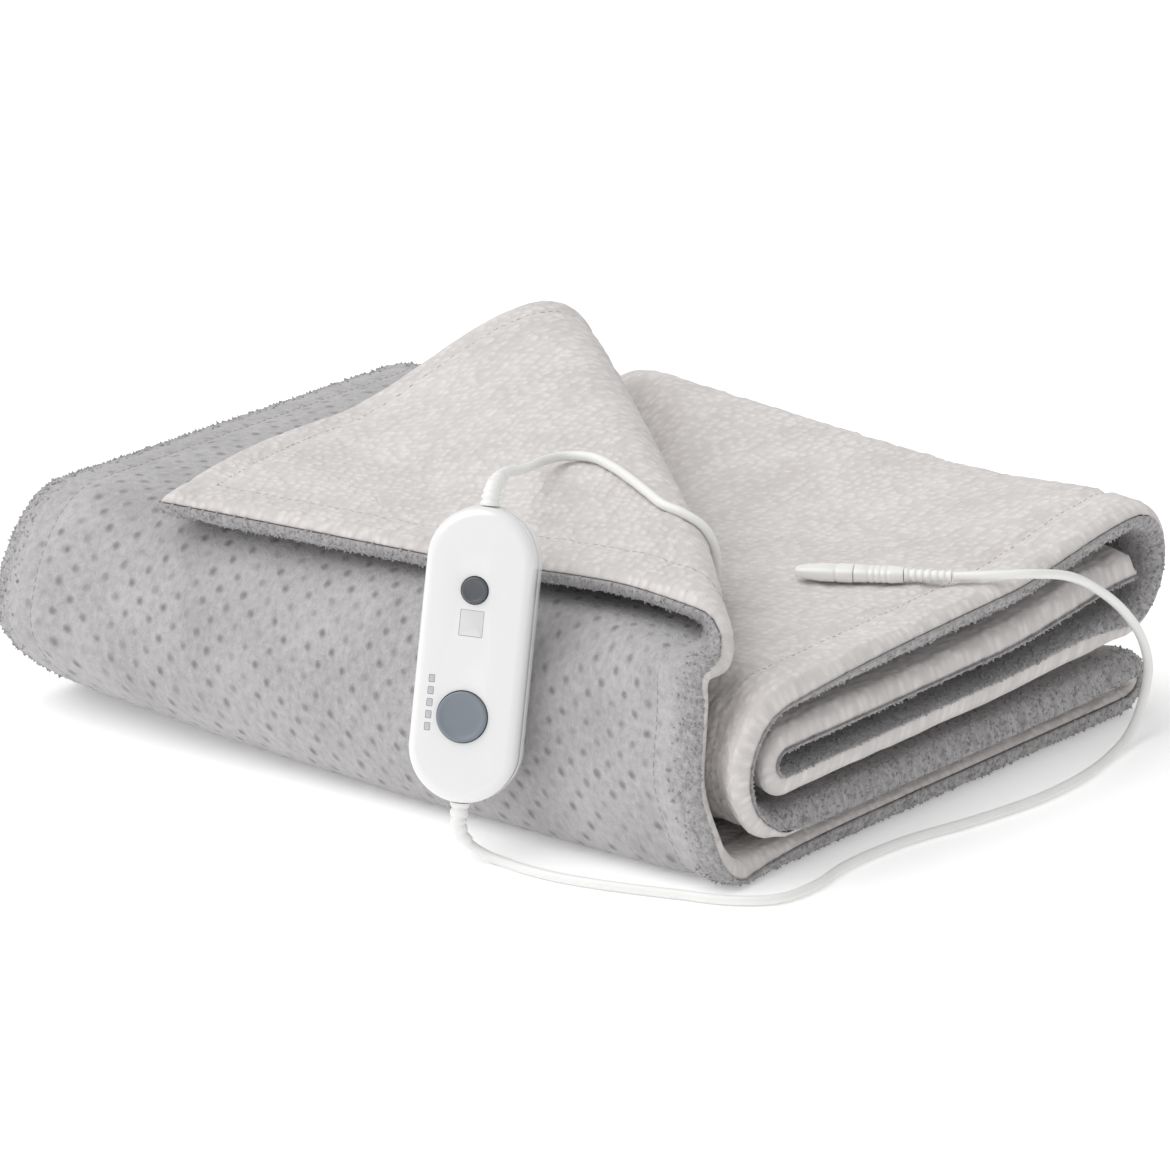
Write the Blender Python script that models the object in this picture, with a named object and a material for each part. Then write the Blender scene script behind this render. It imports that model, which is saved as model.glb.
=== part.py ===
"""A folded electric heated blanket with its handset and leads, in metres, +Z up.

The blanket is a strip of two cloths, a grey flannel and a light sherpa lining, folded in six layers.
X runs across the stack from its rounded front fold to its back, and Y along it from the near hem.
The section of the folds lies in X and Z. The top layer's near corner is turned back over a diagonal roll.
"""

import math

import bmesh
import bpy
from mathutils import Matrix, Vector

MM = 0.001

# The cloth: half its whole thickness, where its two cloths meet, and the air between them.
CLOTH_HALF = 6.4
SEAM_OFFSET = 1.4
SEAM_HALF_GAP = 0.15
STRIP_WIDTH = 400.0

# The middle of the stack and handset's outline in X and Y, which is set at the origin.
MIDDLE = Vector((132.45, 189.0, 0.0))

# The layers, from the top down: height of the middle, shift of the near hem along Y, swell of the hem.
TOP = {"z": 104.5, "shift": 0.0, "hem": 1.08}
FIRST = {"z": 88.5, "shift": -22.0, "hem": 1.15}
SECOND = {"z": 65.5, "shift": -19.0, "hem": 1.5}
THIRD = {"z": 44.5, "shift": -20.0, "hem": 1.35}
FOURTH = {"z": 25.5, "shift": -17.0, "hem": 1.15}
FLOOR = {"z": 6.4, "shift": -12.0, "hem": 1.0}

# Where the folds lie across the stack.
NOSE_X_NEAR = 2.0
NOSE_X_FAR = -8.0
NOSE_TOP_RADIUS_NEAR = 11.0
NOSE_TOP_RADIUS_FAR = 34.0
NOSE_FOOT_RADIUS_NEAR = 24.0
NOSE_FOOT_RADIUS_FAR = 54.0
NOSE_BULGE_NEAR = 4.0
NOSE_BULGE_FAR = 12.0
FULL_RADIUS_Y = 130.0
MIDDLE_FOLD_X = 17.0
MIDDLE_FOLD_DEPTH = 30.0
INNER_FOLD_X = 36.0
BACK_FOLD_X = 306.0
OUTER_BACK_X = 313.0
SECOND_END_X = 283.0
FLARE = 11.5
FLARE_START = 4.0
FLARE_REACH = 26.0

# The turned corner: its fold line, the roll's radius at both ends, and where the corner lies.
FOLD_START = Vector((14.0, 0.0))
FOLD_END = Vector((271.0, 335.0))
ROLL_RADIUS_NEAR = 8.5
ROLL_RADIUS_FAR = 26.0
FLAP_TIP = Vector((-9.0, 316.0))
TOP_END_NEAR_X = 345.0
TOP_END_BOW = 28.0
TOP_END_BOW_SHARE = 0.8
FLAP_CLEARANCE = 2.6
FLAP_SETTLE = 110.0

# The roll's near end leans forward over the front fold, from this height up and this far back.
LEAN = 10.0
LEAN_START = 90.0
LEAN_RANGE = 24.0
LEAN_REACH = 80.0

# How the stack's height changes: a little up at the near back, well down at the far back.
RISE_BACK = 0.05
FALL_FAR = 0.045
FALL_FAR_BACK = 0.205
STACK_DEPTH = 320.0

# The handset.
HANDSET_LENGTH = 138.0
HANDSET_WIDTH = 52.0
HANDSET_UPPER = 9.0
HANDSET_LOWER = 12.7
SHELL_GAP = 0.3
FACE_CENTRE = Vector((-34.75, 110.35, 98.3))
FACE_AZIMUTH = 205.0
FACE_ELEVATION = 14.0
FACE_LEAN = -2.4
SMALL_BUTTON = {"radius": 6.2, "along": 30.4, "across": -1.0, "proud": 1.4}
LARGE_BUTTON = {"radius": 11.8, "along": -28.5, "across": -1.0, "proud": 1.6}
BUTTON_CLEARANCE = 0.4
BUTTON_SEAT = 5.0
BUTTON_SPARE = 1.8
LAMP_COUNT = 5
LAMP_FIRST_ALONG = -12.5
LAMP_PITCH = 5.6
LAMP_ACROSS = -17.0
LAMP_SIZE = (2.6, 3.4, 1.5)
WINDOW_SIZE = (11.0, 12.0, 1.6)
WINDOW_ALONG = 15.0
COLLAR_RADIUS = 4.6
MAINS_COLLAR_BEND = 70.0
MAINS_COLLAR_BEND_RADIUS = 10.0
BLANKET_COLLAR_LENGTH = 4.0

# The leads.
LEAD_RADIUS = 2.3
JOINT_GAP = 0.3


def smooth(value):
    """Runs from 0 to 1 with level ends."""
    value = min(1.0, max(0.0, value))
    return value * value * (3.0 - 2.0 * value)


def mix(low, high, share):
    return low + (high - low) * share


def material(name, colour, roughness, metallic=0.0):
    made = bpy.data.materials.new(name)
    made.use_nodes = True
    shader = made.node_tree.nodes["Principled BSDF"]
    shader.inputs["Base Color"].default_value = (*colour, 1.0)
    shader.inputs["Roughness"].default_value = roughness
    shader.inputs["Metallic"].default_value = metallic
    return made


def add_object(name, mesh, finish, place=None):
    made = bpy.data.objects.new(name, mesh)
    made.data.materials.append(finish)
    bpy.context.scene.collection.objects.link(made)
    if place is not None:
        made.matrix_world = place
    return made


# ---------------------------------------------------------------- the folded strip


def nose_x(y):
    return mix(NOSE_X_NEAR, NOSE_X_FAR, y / STRIP_WIDTH)


def nose_top_radius(y):
    return mix(NOSE_TOP_RADIUS_NEAR, NOSE_TOP_RADIUS_FAR, smooth(y / FULL_RADIUS_Y))


def flat_start(y):
    """X where the top layer's level part begins, behind the front fold."""
    return nose_x(y) + nose_top_radius(y)


def top_end(y):
    """X of the top layer's free edge: the turned corner is longer than the rest."""
    share = min(1.0, y / FOLD_END.y)
    bow = TOP_END_BOW * math.sin(math.pi * min(1.0, share / TOP_END_BOW_SHARE))
    return mix(TOP_END_NEAR_X, FOLD_END.x, share) + bow


def arc(centre, radius, start, end, steps):
    """Points on an arc in X and Z, with angles in degrees from +X; its first point is left out."""
    across, up = radius if isinstance(radius, tuple) else (radius, radius)
    angles = [math.radians(mix(start, end, (i + 1) / steps)) for i in range(steps)]
    return [(centre[0] + across * math.cos(a), centre[1] + up * math.sin(a)) for a in angles]


def run(start_x, end_x, z, steps):
    return [(mix(start_x, end_x, (i + 1) / steps), z) for i in range(steps)]


def stations(y):
    """The folds below the top layer at Y: rows of X, Z, shift, hem swell and flare, front to end."""
    radius = nose_top_radius(y)
    front = nose_x(y)
    bulge = mix(NOSE_BULGE_NEAR, NOSE_BULGE_FAR, y / STRIP_WIDTH)
    foot = mix(NOSE_FOOT_RADIUS_NEAR, NOSE_FOOT_RADIUS_FAR, y / STRIP_WIDTH)
    top, floor = TOP["z"], FLOOR["z"]
    nose = [(front + radius, top)]
    nose += arc((front + radius, top - radius), radius, 90, 180, 4)
    nose += [(front, mix(top - radius, floor + foot, share)) for share in (0.34, 0.67, 1.0)]
    nose += arc((front + foot, floor + foot), foot, 180, 270, 4)
    swell = [math.sin(math.pi * (z - floor) / (top - floor)) ** 2 for x, z in nose]
    nose = [(x - bulge * s, z) for (x, z), s in zip(nose, swell)]

    floor_run = run(front + foot, BACK_FOLD_X - 10.0, floor, 3)
    back_radius = (FOURTH["z"] - floor) / 2
    back = arc((BACK_FOLD_X - back_radius, floor + back_radius), back_radius, -90, 90, 5)
    fourth = run(back[-1][0], MIDDLE_FOLD_X + MIDDLE_FOLD_DEPTH, FOURTH["z"], 3)
    middle_up = (FIRST["z"] - FOURTH["z"]) / 2
    middle_centre = (MIDDLE_FOLD_X + MIDDLE_FOLD_DEPTH, FOURTH["z"] + middle_up)
    middle = arc(middle_centre, (MIDDLE_FOLD_DEPTH, middle_up), 270, 90, 8)
    first_radius = (FIRST["z"] - THIRD["z"]) / 2
    first = run(middle[-1][0], OUTER_BACK_X - first_radius, FIRST["z"], 5)
    outer_centre = (OUTER_BACK_X - first_radius, THIRD["z"] + first_radius)
    outer = arc(outer_centre, first_radius, 90, -90, 7)
    inner_radius = (SECOND["z"] - THIRD["z"]) / 2
    third = run(outer[-1][0], INNER_FOLD_X + inner_radius, THIRD["z"], 4)
    inner_centre = (INNER_FOLD_X + inner_radius, THIRD["z"] + inner_radius)
    inner = arc(inner_centre, inner_radius, 270, 90, 6)
    second = run(inner[-1][0], SECOND_END_X - 12.0, SECOND["z"], 3)
    second += run(SECOND_END_X - 12.0, SECOND_END_X, SECOND["z"], 2)

    parts = (
        (nose, TOP, TOP, 0.0),
        (floor_run, FLOOR, FLOOR, 0.0),
        (back, FLOOR, FOURTH, 0.0),
        (fourth, FOURTH, FOURTH, 1.0),
        (middle, FOURTH, FIRST, 1.0),
        (first, FIRST, FIRST, 1.0),
        (outer, FIRST, THIRD, 0.0),
        (third, THIRD, THIRD, 1.0),
        (inner, THIRD, SECOND, 1.0),
        (second, SECOND, SECOND, 1.0),
    )
    rows = []
    before = TOP
    for points, start, end, flare in parts:
        for i, (x, z) in enumerate(points):
            share = (i + 1) / len(points)
            step = mix(before["shift"], end["shift"], smooth(share))
            if start is end:
                step = end["shift"] if start is not FLOOR else mix(0.0, end["shift"], share)
            hem = mix(start["hem"], end["hem"], share)
            rows.append((x, z, step, hem, flare))
        before = end
    return rows


def height_factor(x, y):
    across = min(1.0, max(0.0, x / STACK_DEPTH))
    along = min(1.0, max(0.0, y / STRIP_WIDTH))
    return 1.0 + RISE_BACK * across - along * along * (FALL_FAR + FALL_FAR_BACK * across)


def hem_factor(distance, swell):
    """Thickness beside a hem, by the distance to the cloth's edge: rounded edge, swell, stitched dip."""
    stops = ((0.0, 0.42), (3.5, 0.86), (11.0, 1.0), (23.0, 0.9), (45.0, 1.0))
    swells = (1.0, swell, swell, 1.0, 1.0)
    for i in range(len(stops) - 1):
        start, end = stops[i], stops[i + 1]
        if distance <= end[0]:
            share = (distance - start[0]) / (end[0] - start[0])
            return mix(start[1] * swells[i], end[1] * swells[i + 1], share)
    return 1.0


def edge_distance(y):
    return max(0.0, min(y, STRIP_WIDTH - y))


def settle(x, y, z, rise=0.0):
    """The last step for every point: heights follow the stack, and nothing goes below the floor."""
    return Vector((x, y, max(0.0, z * height_factor(x, y) + rise)))


def leaned(point):
    """A point of the top layer or the front fold, moved forward where the roll's near end leans."""
    above = smooth((point.z - LEAN_START) / LEAN_RANGE)
    return point - Vector((LEAN * above * smooth((LEAN_REACH - point.y) / LEAN_REACH), 0.0, 0.0))


LINE = (FOLD_END - FOLD_START).normalized()
ACROSS = Vector((LINE.y, -LINE.x))


def turned_corner_stretch():
    """How far the corner moves along and across the fold line so that it lands on the flap's tip."""
    corner = Vector((TOP_END_NEAR_X, 0.0)) - FOLD_START
    tip = FLAP_TIP - FOLD_START
    rolled = math.pi * roll_radius(tip.dot(LINE))
    wanted = -tip.dot(ACROSS) + rolled
    return corner.dot(ACROSS), wanted - corner.dot(ACROSS), tip.dot(LINE) - corner.dot(LINE)


def roll_radius(along):
    share = min(1.2, max(0.0, along / (FOLD_END - FOLD_START).length))
    return mix(ROLL_RADIUS_NEAR, ROLL_RADIUS_FAR, share)


def turned_over(x, y, offset):
    """A point of the top layer past the fold line: round the roll, then back over the top layer."""
    reach, add_across, add_along = turned_corner_stretch()
    here = Vector((x, y)) - FOLD_START
    share = here.dot(ACROSS) / reach
    distance = here.dot(ACROSS) + add_across * share
    along = here.dot(LINE) + add_along * share
    radius = roll_radius(along)
    angle = distance / radius
    if angle < math.pi:
        out = (radius - offset) * math.sin(angle)
        rise = radius - (radius - offset) * math.cos(angle)
    else:
        beyond = distance - math.pi * radius
        resting = 2 * CLOTH_HALF + FLAP_CLEARANCE
        out = -beyond
        rise = mix(2 * radius, resting, smooth(beyond / FLAP_SETTLE)) - offset
    foot = FOLD_START + LINE * along
    flat = foot + ACROSS * out
    return leaned(settle(flat.x, flat.y, TOP["z"], rise))


def top_layer(x, y, offset):
    if (Vector((x, y)) - FOLD_START).dot(ACROSS) > 0.0:
        return turned_over(x, y, offset)
    return leaned(settle(x, y, TOP["z"] + offset))


def folded(row, side, y, offset):
    """A point of the folds below the top layer: a station's row, pushed out sideways by offset."""
    x, z, shift, hem, flare = row
    moved = y + shift
    spread = flare * FLARE * smooth((FLARE_START - moved) / FLARE_REACH) * smooth((90.0 - x) / 60.0)
    point = settle(x + offset * side[0] - spread, moved, z + offset * side[1])
    return leaned(point) if flare == 0.0 and x < BACK_FOLD_X / 2 else point


def side_of(rows, i):
    """The grey side's direction at a station, square to the path."""
    before, after = rows[max(0, i - 1)], rows[min(len(rows) - 1, i + 1)]
    dx, dz = after[0] - before[0], after[1] - before[1]
    length = math.hypot(dx, dz)
    return dz / length, -dx / length


HEM_STEPS = (0.0, 3.5, 11.0, 23.0)
INNER_STEPS = 6
TOP_STEPS = (0.0, 3.5, 11.0, 23.0, 45.0)
TOP_COLUMNS = 8
ROLL_LINES = (0.0, 0.25, 0.5, 0.75, 1.0)
FLAP_LINES = (35.0, 80.0)


def across_steps():
    low, high = HEM_STEPS[-1], STRIP_WIDTH - HEM_STEPS[-1]
    inner = [mix(low, high, (i + 1) / INNER_STEPS) for i in range(INNER_STEPS - 1)]
    return list(HEM_STEPS) + inner + [STRIP_WIDTH - step for step in reversed(HEM_STEPS)]


def strip_pattern():
    """The strip laid flat as a bmesh, in X and Y; a vertex left of the top layer keeps its station."""
    pattern = bmesh.new()
    station = pattern.verts.layers.int.new("station")
    columns = []
    count = len(stations(0.0))
    for y in across_steps():
        start, end = flat_start(y), top_end(y)
        ends = [end - step for step in TOP_STEPS]
        ends += [mix(ends[-1], start, (i + 1) / TOP_COLUMNS) for i in range(TOP_COLUMNS)]
        line = []
        for x in ends:
            made = pattern.verts.new((x, y, 0.0))
            made[station] = 0
            line.append(made)
        for i in range(1, count):
            made = pattern.verts.new((start - i, y, 0.0))
            made[station] = i
            line.append(made)
        columns.append(line)
    for near, far in zip(columns, columns[1:]):
        for i in range(len(near) - 1):
            pattern.faces.new((near[i], near[i + 1], far[i + 1], far[i]))
    cut_along_roll(pattern, station)
    bmesh.ops.triangulate(pattern, faces=pattern.faces[:])
    return pattern, station


def cut_along_roll(pattern, station):
    """Cuts the top layer's flat pattern along the fold line and the lines that bend round the roll."""
    reach, add_across, add_along = turned_corner_stretch()
    stretch = 1.0 + add_across / reach
    ends = []
    for share in ROLL_LINES:
        near = math.pi * share * ROLL_RADIUS_NEAR / stretch
        far = math.pi * share * ROLL_RADIUS_FAR / stretch
        ends.append((near, far))
    for beyond in FLAP_LINES:
        ends.append((math.pi * ROLL_RADIUS_NEAR + beyond, math.pi * ROLL_RADIUS_FAR + beyond))
    length = (FOLD_END - FOLD_START).length
    for near, far in ends:
        start = FOLD_START + ACROSS * near
        direction = FOLD_START + LINE * length + ACROSS * far - start
        normal = Vector((direction.y, -direction.x, 0.0))
        faces = [f for f in pattern.faces if all(v[station] == 0 for v in f.verts)]
        edges = {e for f in faces for e in f.edges}
        verts = {v for f in faces for v in f.verts}
        bmesh.ops.bisect_plane(
            pattern,
            geom=list(verts) + list(edges) + faces,
            dist=0.4,
            plane_co=(start.x, start.y, 0.0),
            plane_no=normal,
        )


def place_strip(vertex, station, low, offset):
    """One cloth's surface point over a vertex of the flat pattern."""
    index = vertex[station]
    x, y = vertex.co.x, vertex.co.y
    edge = edge_distance(y)
    if index == 0:
        factor = hem_factor(edge, TOP["hem"])
        factor = min(factor, hem_factor(max(0.0, top_end(y) - x), 1.0))
        return top_layer(x, y, cloth_offset(low, offset, factor))
    rows = stations(y)
    row = rows[index]
    factor = hem_factor(edge, row[3])
    if index > len(rows) - 6:
        factor = min(factor, hem_factor(max(0.0, SECOND_END_X - row[0]), 1.0))
    return folded(row, side_of(rows, index), y, cloth_offset(low, offset, factor))


def cloth_offset(outer, share, factor):
    """Offset across the cloth: share 0 is the seam between the two cloths and 1 the outside."""
    seam = SEAM_OFFSET * factor
    if outer:
        return mix(seam + SEAM_HALF_GAP, CLOTH_HALF * factor, share)
    return mix(seam - SEAM_HALF_GAP, -CLOTH_HALF * factor, share)


def cloth(name, outer, finish):
    """One of the two cloths as a closed solid: the flat pattern twice, joined round its edge."""
    pattern, station = strip_pattern()
    solid = bmesh.new()
    pattern.verts.ensure_lookup_table()
    pattern.verts.index_update()
    sides = []
    for share in (0.0, 1.0):
        made = [solid.verts.new(MM * place_strip(v, station, outer, share)) for v in pattern.verts]
        sides.append(made)
    for face in pattern.faces:
        corners = [v.index for v in face.verts]
        solid.faces.new([sides[0][i] for i in corners])
        solid.faces.new([sides[1][i] for i in reversed(corners)])
    for edge in pattern.edges:
        if edge.is_boundary:
            a, b = (v.index for v in edge.verts)
            face = solid.faces.new((sides[0][a], sides[0][b], sides[1][b], sides[1][a]))
            bmesh.ops.triangulate(solid, faces=[face])
    pattern.free()
    bmesh.ops.recalc_face_normals(solid, faces=solid.faces[:])
    mesh = bpy.data.meshes.new(name)
    solid.to_mesh(mesh)
    solid.free()
    mesh.shade_smooth()
    return add_object(name, mesh, finish)


# ---------------------------------------------------------------- the handset


def handset_frame():
    """The handset's own axes: X across its face, Y up its length, Z out of its face."""
    turn = math.radians(FACE_AZIMUTH)
    rise = math.radians(FACE_ELEVATION)
    out = Vector((math.cos(turn) * math.cos(rise), math.sin(turn) * math.cos(rise), math.sin(rise)))
    across = Vector((0.0, 0.0, 1.0)).cross(out).normalized()
    along = out.cross(across)
    axes = Matrix((across, along, out)).transposed().to_4x4()
    lean = Matrix.Rotation(math.radians(FACE_LEAN), 4, "Z")
    return Matrix.Translation(FACE_CENTRE * MM) @ axes @ lean


def stadium(half_length, radius, steps):
    """An outline with round ends, anticlockwise, as points across and along."""
    points = []
    for centre, start in ((half_length - radius, 0.0), (radius - half_length, math.pi)):
        for i in range(steps + 1):
            angle = start + math.pi * i / steps
            points.append((radius * math.cos(angle), centre + radius * math.sin(angle)))
    return points


def shell_mesh(name, levels, steps=14):
    """A handset shell from rows of height and inset, closed at both ends."""
    made = bmesh.new()
    rings = []
    for height, inset in levels:
        outline = stadium(HANDSET_LENGTH / 2 - inset, HANDSET_WIDTH / 2 - inset, steps)
        rings.append([made.verts.new((x * MM, y * MM, height * MM)) for x, y in outline])
    count = len(rings[0])
    for lower, upper in zip(rings, rings[1:]):
        for i in range(count):
            j = (i + 1) % count
            made.faces.new((lower[i], lower[j], upper[j], upper[i]))
    made.faces.new(list(reversed(rings[0])))
    made.faces.new(rings[-1])
    mesh = bpy.data.meshes.new(name)
    made.to_mesh(mesh)
    made.free()
    mesh.shade_smooth()
    mesh.set_sharp_from_angle(angle=math.radians(40))
    return mesh


def disc_mesh(name, radius, low, high, round_edge, segments=24):
    """A turned button or pocket: a disc from low to high with a rounded top edge."""
    made = bmesh.new()
    levels = [(low, 0.0), (high - round_edge, 0.0)]
    if round_edge:
        levels += [(high - 0.3 * round_edge, 0.3 * round_edge), (high, round_edge)]
    rings = []
    for height, inset in levels:
        ring = []
        for i in range(segments):
            angle = 2 * math.pi * i / segments
            reach = (radius - inset) * MM
            ring.append(made.verts.new((reach * math.cos(angle), reach * math.sin(angle), height * MM)))
        rings.append(ring)
    for lower, upper in zip(rings, rings[1:]):
        for i in range(segments):
            j = (i + 1) % segments
            made.faces.new((lower[i], lower[j], upper[j], upper[i]))
    made.faces.new(list(reversed(rings[0])))
    made.faces.new(rings[-1])
    mesh = bpy.data.meshes.new(name)
    made.to_mesh(mesh)
    made.free()
    mesh.shade_smooth()
    mesh.set_sharp_from_angle(angle=math.radians(35))
    return mesh


def block_mesh(name, size, centre_z):
    """A plain block with its size in X, Y and Z, centred on its own axis at centre_z."""
    made = bmesh.new()
    bmesh.ops.create_cube(made, size=1.0)
    scale = Matrix.Diagonal((size[0] * MM, size[1] * MM, size[2] * MM, 1.0))
    bmesh.ops.transform(made, matrix=Matrix.Translation((0, 0, centre_z * MM)) @ scale, verts=made.verts)
    mesh = bpy.data.meshes.new(name)
    made.to_mesh(mesh)
    made.free()
    return mesh


def cut(target, cutter):
    """Cuts one solid out of another; the cutter stays in the file as a guide."""
    cutter.hide_render = True
    cutter.display_type = "WIRE"
    made = target.modifiers.new("cut_" + cutter.name, "BOOLEAN")
    made.operation = "DIFFERENCE"
    made.object = cutter


def spot(frame, across, along):
    return frame @ Matrix.Translation((across * MM, along * MM, 0.0))


def make_handset(white, dark, slate, lamp_white, smoke):
    frame = handset_frame()
    upper_levels = ((-HANDSET_UPPER, 0.0), (-4.2, 0.0), (-1.9, 0.9), (-0.6, 2.6), (0.0, 5.2))
    base = -HANDSET_UPPER - SHELL_GAP
    lower_levels = ((base - HANDSET_LOWER, 6.0), (base - 11.2, 3.0), (base - 8.0, 1.2))
    lower_levels += ((base - 3.0, 0.5), (base, 0.3))
    upper = add_object("handset_upper_shell", shell_mesh("upper_shell", upper_levels), white, frame)
    add_object("handset_lower_shell", shell_mesh("lower_shell", lower_levels), white, frame)

    for name, size, finish in (
        ("small_button", SMALL_BUTTON, dark),
        ("large_button", LARGE_BUTTON, slate),
    ):
        place = spot(frame, size["across"], size["along"])
        low = -BUTTON_SEAT + BUTTON_SPARE
        cap = disc_mesh(name, size["radius"], low, size["proud"], 0.9)
        add_object(name, cap, finish, place)
        pocket = disc_mesh(name + "_pocket", size["radius"] + BUTTON_CLEARANCE, -BUTTON_SEAT, 3.0, 0.0)
        cut(upper, add_object(name + "_pocket", pocket, finish, place))

    for i in range(LAMP_COUNT):
        place = spot(frame, LAMP_ACROSS, LAMP_FIRST_ALONG - i * LAMP_PITCH)
        add_inlay(upper, f"lamp_window_{i + 1}", LAMP_SIZE, place, lamp_white)
    add_inlay(upper, "display_window", WINDOW_SIZE, spot(frame, -1.0, WINDOW_ALONG), smoke)

    rows = ((0.0, COLLAR_RADIUS), (1.6, COLLAR_RADIUS), (BLANKET_COLLAR_LENGTH, LEAD_RADIUS + 0.9))
    blanket_collar = turned_mesh("blanket_collar", rows)
    add_object("blanket_collar", blanket_collar, white, collar_frame(frame, -1.0))
    add_object("mains_collar", bent_collar_mesh("mains_collar"), white, collar_frame(frame, 1.0))
    return frame


def add_inlay(upper, name, size, place, finish):
    """A small window let into the face, flush with it."""
    lens = block_mesh(name, size, -size[2] / 2)
    add_object(name, lens, finish, place)
    room = (size[0] + 2 * SHELL_GAP, size[1] + 2 * SHELL_GAP, size[2] + SHELL_GAP + 1.0)
    pocket = block_mesh(name + "_pocket", room, 1.0 - room[2] / 2)
    cut(upper, add_object(name + "_pocket", pocket, finish, place))


def collar_frame(frame, side):
    """A collar's frame at one end of the handset, its Z pointing out along the handset."""
    place = Matrix.Translation((0.0, side * (HANDSET_LENGTH / 2 + SHELL_GAP) * MM, -HANDSET_UPPER * MM))
    turn = Matrix.Rotation(math.radians(-90.0 * side), 4, "X")
    return frame @ place @ turn


def turned_mesh(name, profile, segments=16):
    """A turned solid from rows of height and radius along Z."""
    made = bmesh.new()
    rings = []
    for height, radius in profile:
        ring = []
        for i in range(segments):
            angle = 2 * math.pi * i / segments
            reach = radius * MM
            ring.append(made.verts.new((reach * math.cos(angle), reach * math.sin(angle), height * MM)))
        rings.append(ring)
    for lower, upper in zip(rings, rings[1:]):
        for i in range(segments):
            j = (i + 1) % segments
            made.faces.new((lower[i], lower[j], upper[j], upper[i]))
    made.faces.new(list(reversed(rings[0])))
    made.faces.new(rings[-1])
    mesh = bpy.data.meshes.new(name)
    made.to_mesh(mesh)
    made.free()
    mesh.shade_smooth()
    mesh.set_sharp_from_angle(angle=math.radians(40))
    return mesh


def bent_collar_mesh(name, segments=16, steps=6):
    """The mains lead's collar, which turns the lead towards the handset's back."""
    made = bmesh.new()
    rings = []
    for step in range(steps + 1):
        share = step / steps
        bend = math.radians(MAINS_COLLAR_BEND * share)
        reach = mix(COLLAR_RADIUS, LEAD_RADIUS + 0.9, share)
        middle = MAINS_COLLAR_BEND_RADIUS
        ring = []
        for i in range(segments):
            angle = 2 * math.pi * i / segments
            side = reach * math.cos(angle)
            inward = middle - reach * math.sin(angle)
            place = (side, middle - inward * math.cos(bend), inward * math.sin(bend))
            ring.append(made.verts.new([value * MM for value in place]))
        rings.append(ring)
    for lower, upper in zip(rings, rings[1:]):
        for i in range(segments):
            j = (i + 1) % segments
            made.faces.new((lower[i], lower[j], upper[j], upper[i]))
    made.faces.new(list(reversed(rings[0])))
    made.faces.new(rings[-1])
    bmesh.ops.recalc_face_normals(made, faces=made.faces[:])
    mesh = bpy.data.meshes.new(name)
    made.to_mesh(mesh)
    made.free()
    mesh.shade_smooth()
    mesh.set_sharp_from_angle(angle=math.radians(40))
    return mesh


# ---------------------------------------------------------------- the leads

BLANKET_LEAD_ROUTE = (
    (-44.33, 109.26, 24.5),
    (-45.45, 108.97, 19.9),
    (-44.4, 107.3, 13.2),
    (-40.2, 104.0, 7.4),
    (-37.4, 98.0, 3.9),
    (-36.2, 90.0, 2.5),
    (-37.0, 76.0, 2.4),
    (-36.0, 60.0, 2.4),
    (-31.5, 40.0, 2.4),
    (-25.0, 20.0, 2.4),
    (-17.5, 0.0, 2.4),
    (-9.0, -22.0, 2.4),
    (6.0, -38.0, 2.4),
    (28.0, -41.0, 2.4),
    (60.0, -36.0, 2.4),
    (100.0, -37.0, 2.4),
    (145.0, -46.0, 2.4),
    (185.0, -51.0, 2.4),
    (220.0, -49.0, 2.4),
    (250.0, -42.0, 2.6),
    (270.0, -37.0, 6.5),
    (282.0, -34.5, 17.0),
    (287.0, -34.0, 33.0),
    (282.0, -34.0, 49.0),
    (269.0, -33.5, 66.0),
    (250.0, -33.0, 82.0),
    (228.0, -33.0, 95.0),
    (207.0, -29.0, 101.3),
    (193.0, -19.0, 102.4),
    (180.0, -2.8, 101.6),
)
MAINS_LEAD_ROUTE = (
    (-1.95, 121.95, 170.9),
    (3.45, 124.35, 171.3),
    (16.0, 130.5, 169.4),
    (34.0, 140.0, 162.5),
    (54.0, 150.5, 155.4),
    (74.0, 160.5, 149.4),
    (90.0, 167.3, 145.4),
    (103.0, 166.3, 143.9),
    (108.6, 155.5, 144.4),
    (105.0, 139.5, 144.4),
    (98.5, 123.0, 143.7),
    (91.8, 107.6, 142.7),
    (87.2, 95.0, 141.2),
    (88.8, 84.0, 138.8),
    (93.4, 75.4, 132.4),
    (97.6, 72.2, 120.6),
    (99.8, 73.6, 109.4),
    (105.0, 79.8, 101.2),
    (114.4, 91.4, 99.3),
    (136.0, 115.6, 99.4),
    (160.0, 153.2, 98.7),
    (190.5, 194.2, 97.3),
    (222.6, 236.0, 95.5),
    (251.0, 273.0, 93.5),
    (275.0, 301.0, 91.6),
    (296.0, 321.0, 88.4),
    (313.0, 331.0, 81.4),
    (323.5, 335.0, 66.0),
    (327.0, 336.0, 44.0),
    (328.5, 336.0, 22.0),
    (332.0, 335.6, 8.0),
    (339.0, 335.0, 2.6),
    (346.0, 334.6, 2.4),
)
MAINS_TAIL_ROUTE = (
    (399.2, 290.6, 2.4),
    (398.0, 281.0, 2.4),
    (393.0, 268.5, 2.5),
    (384.0, 260.5, 3.8),
    (377.2, 253.0, 5.7),
    (375.2, 245.0, 6.7),
)

# The connector on the cloth: its line, and the length of its pieces along it.
CONNECTOR_START = Vector((179.6, -2.2, 101.6))
CONNECTOR_END = Vector((138.6, 59.6, 101.8))
LEAD_RELIEF_LENGTH = 22.0
CONNECTOR_PLUG_LENGTH = 23.0
SOCKET_LENGTH = 27.0

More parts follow.
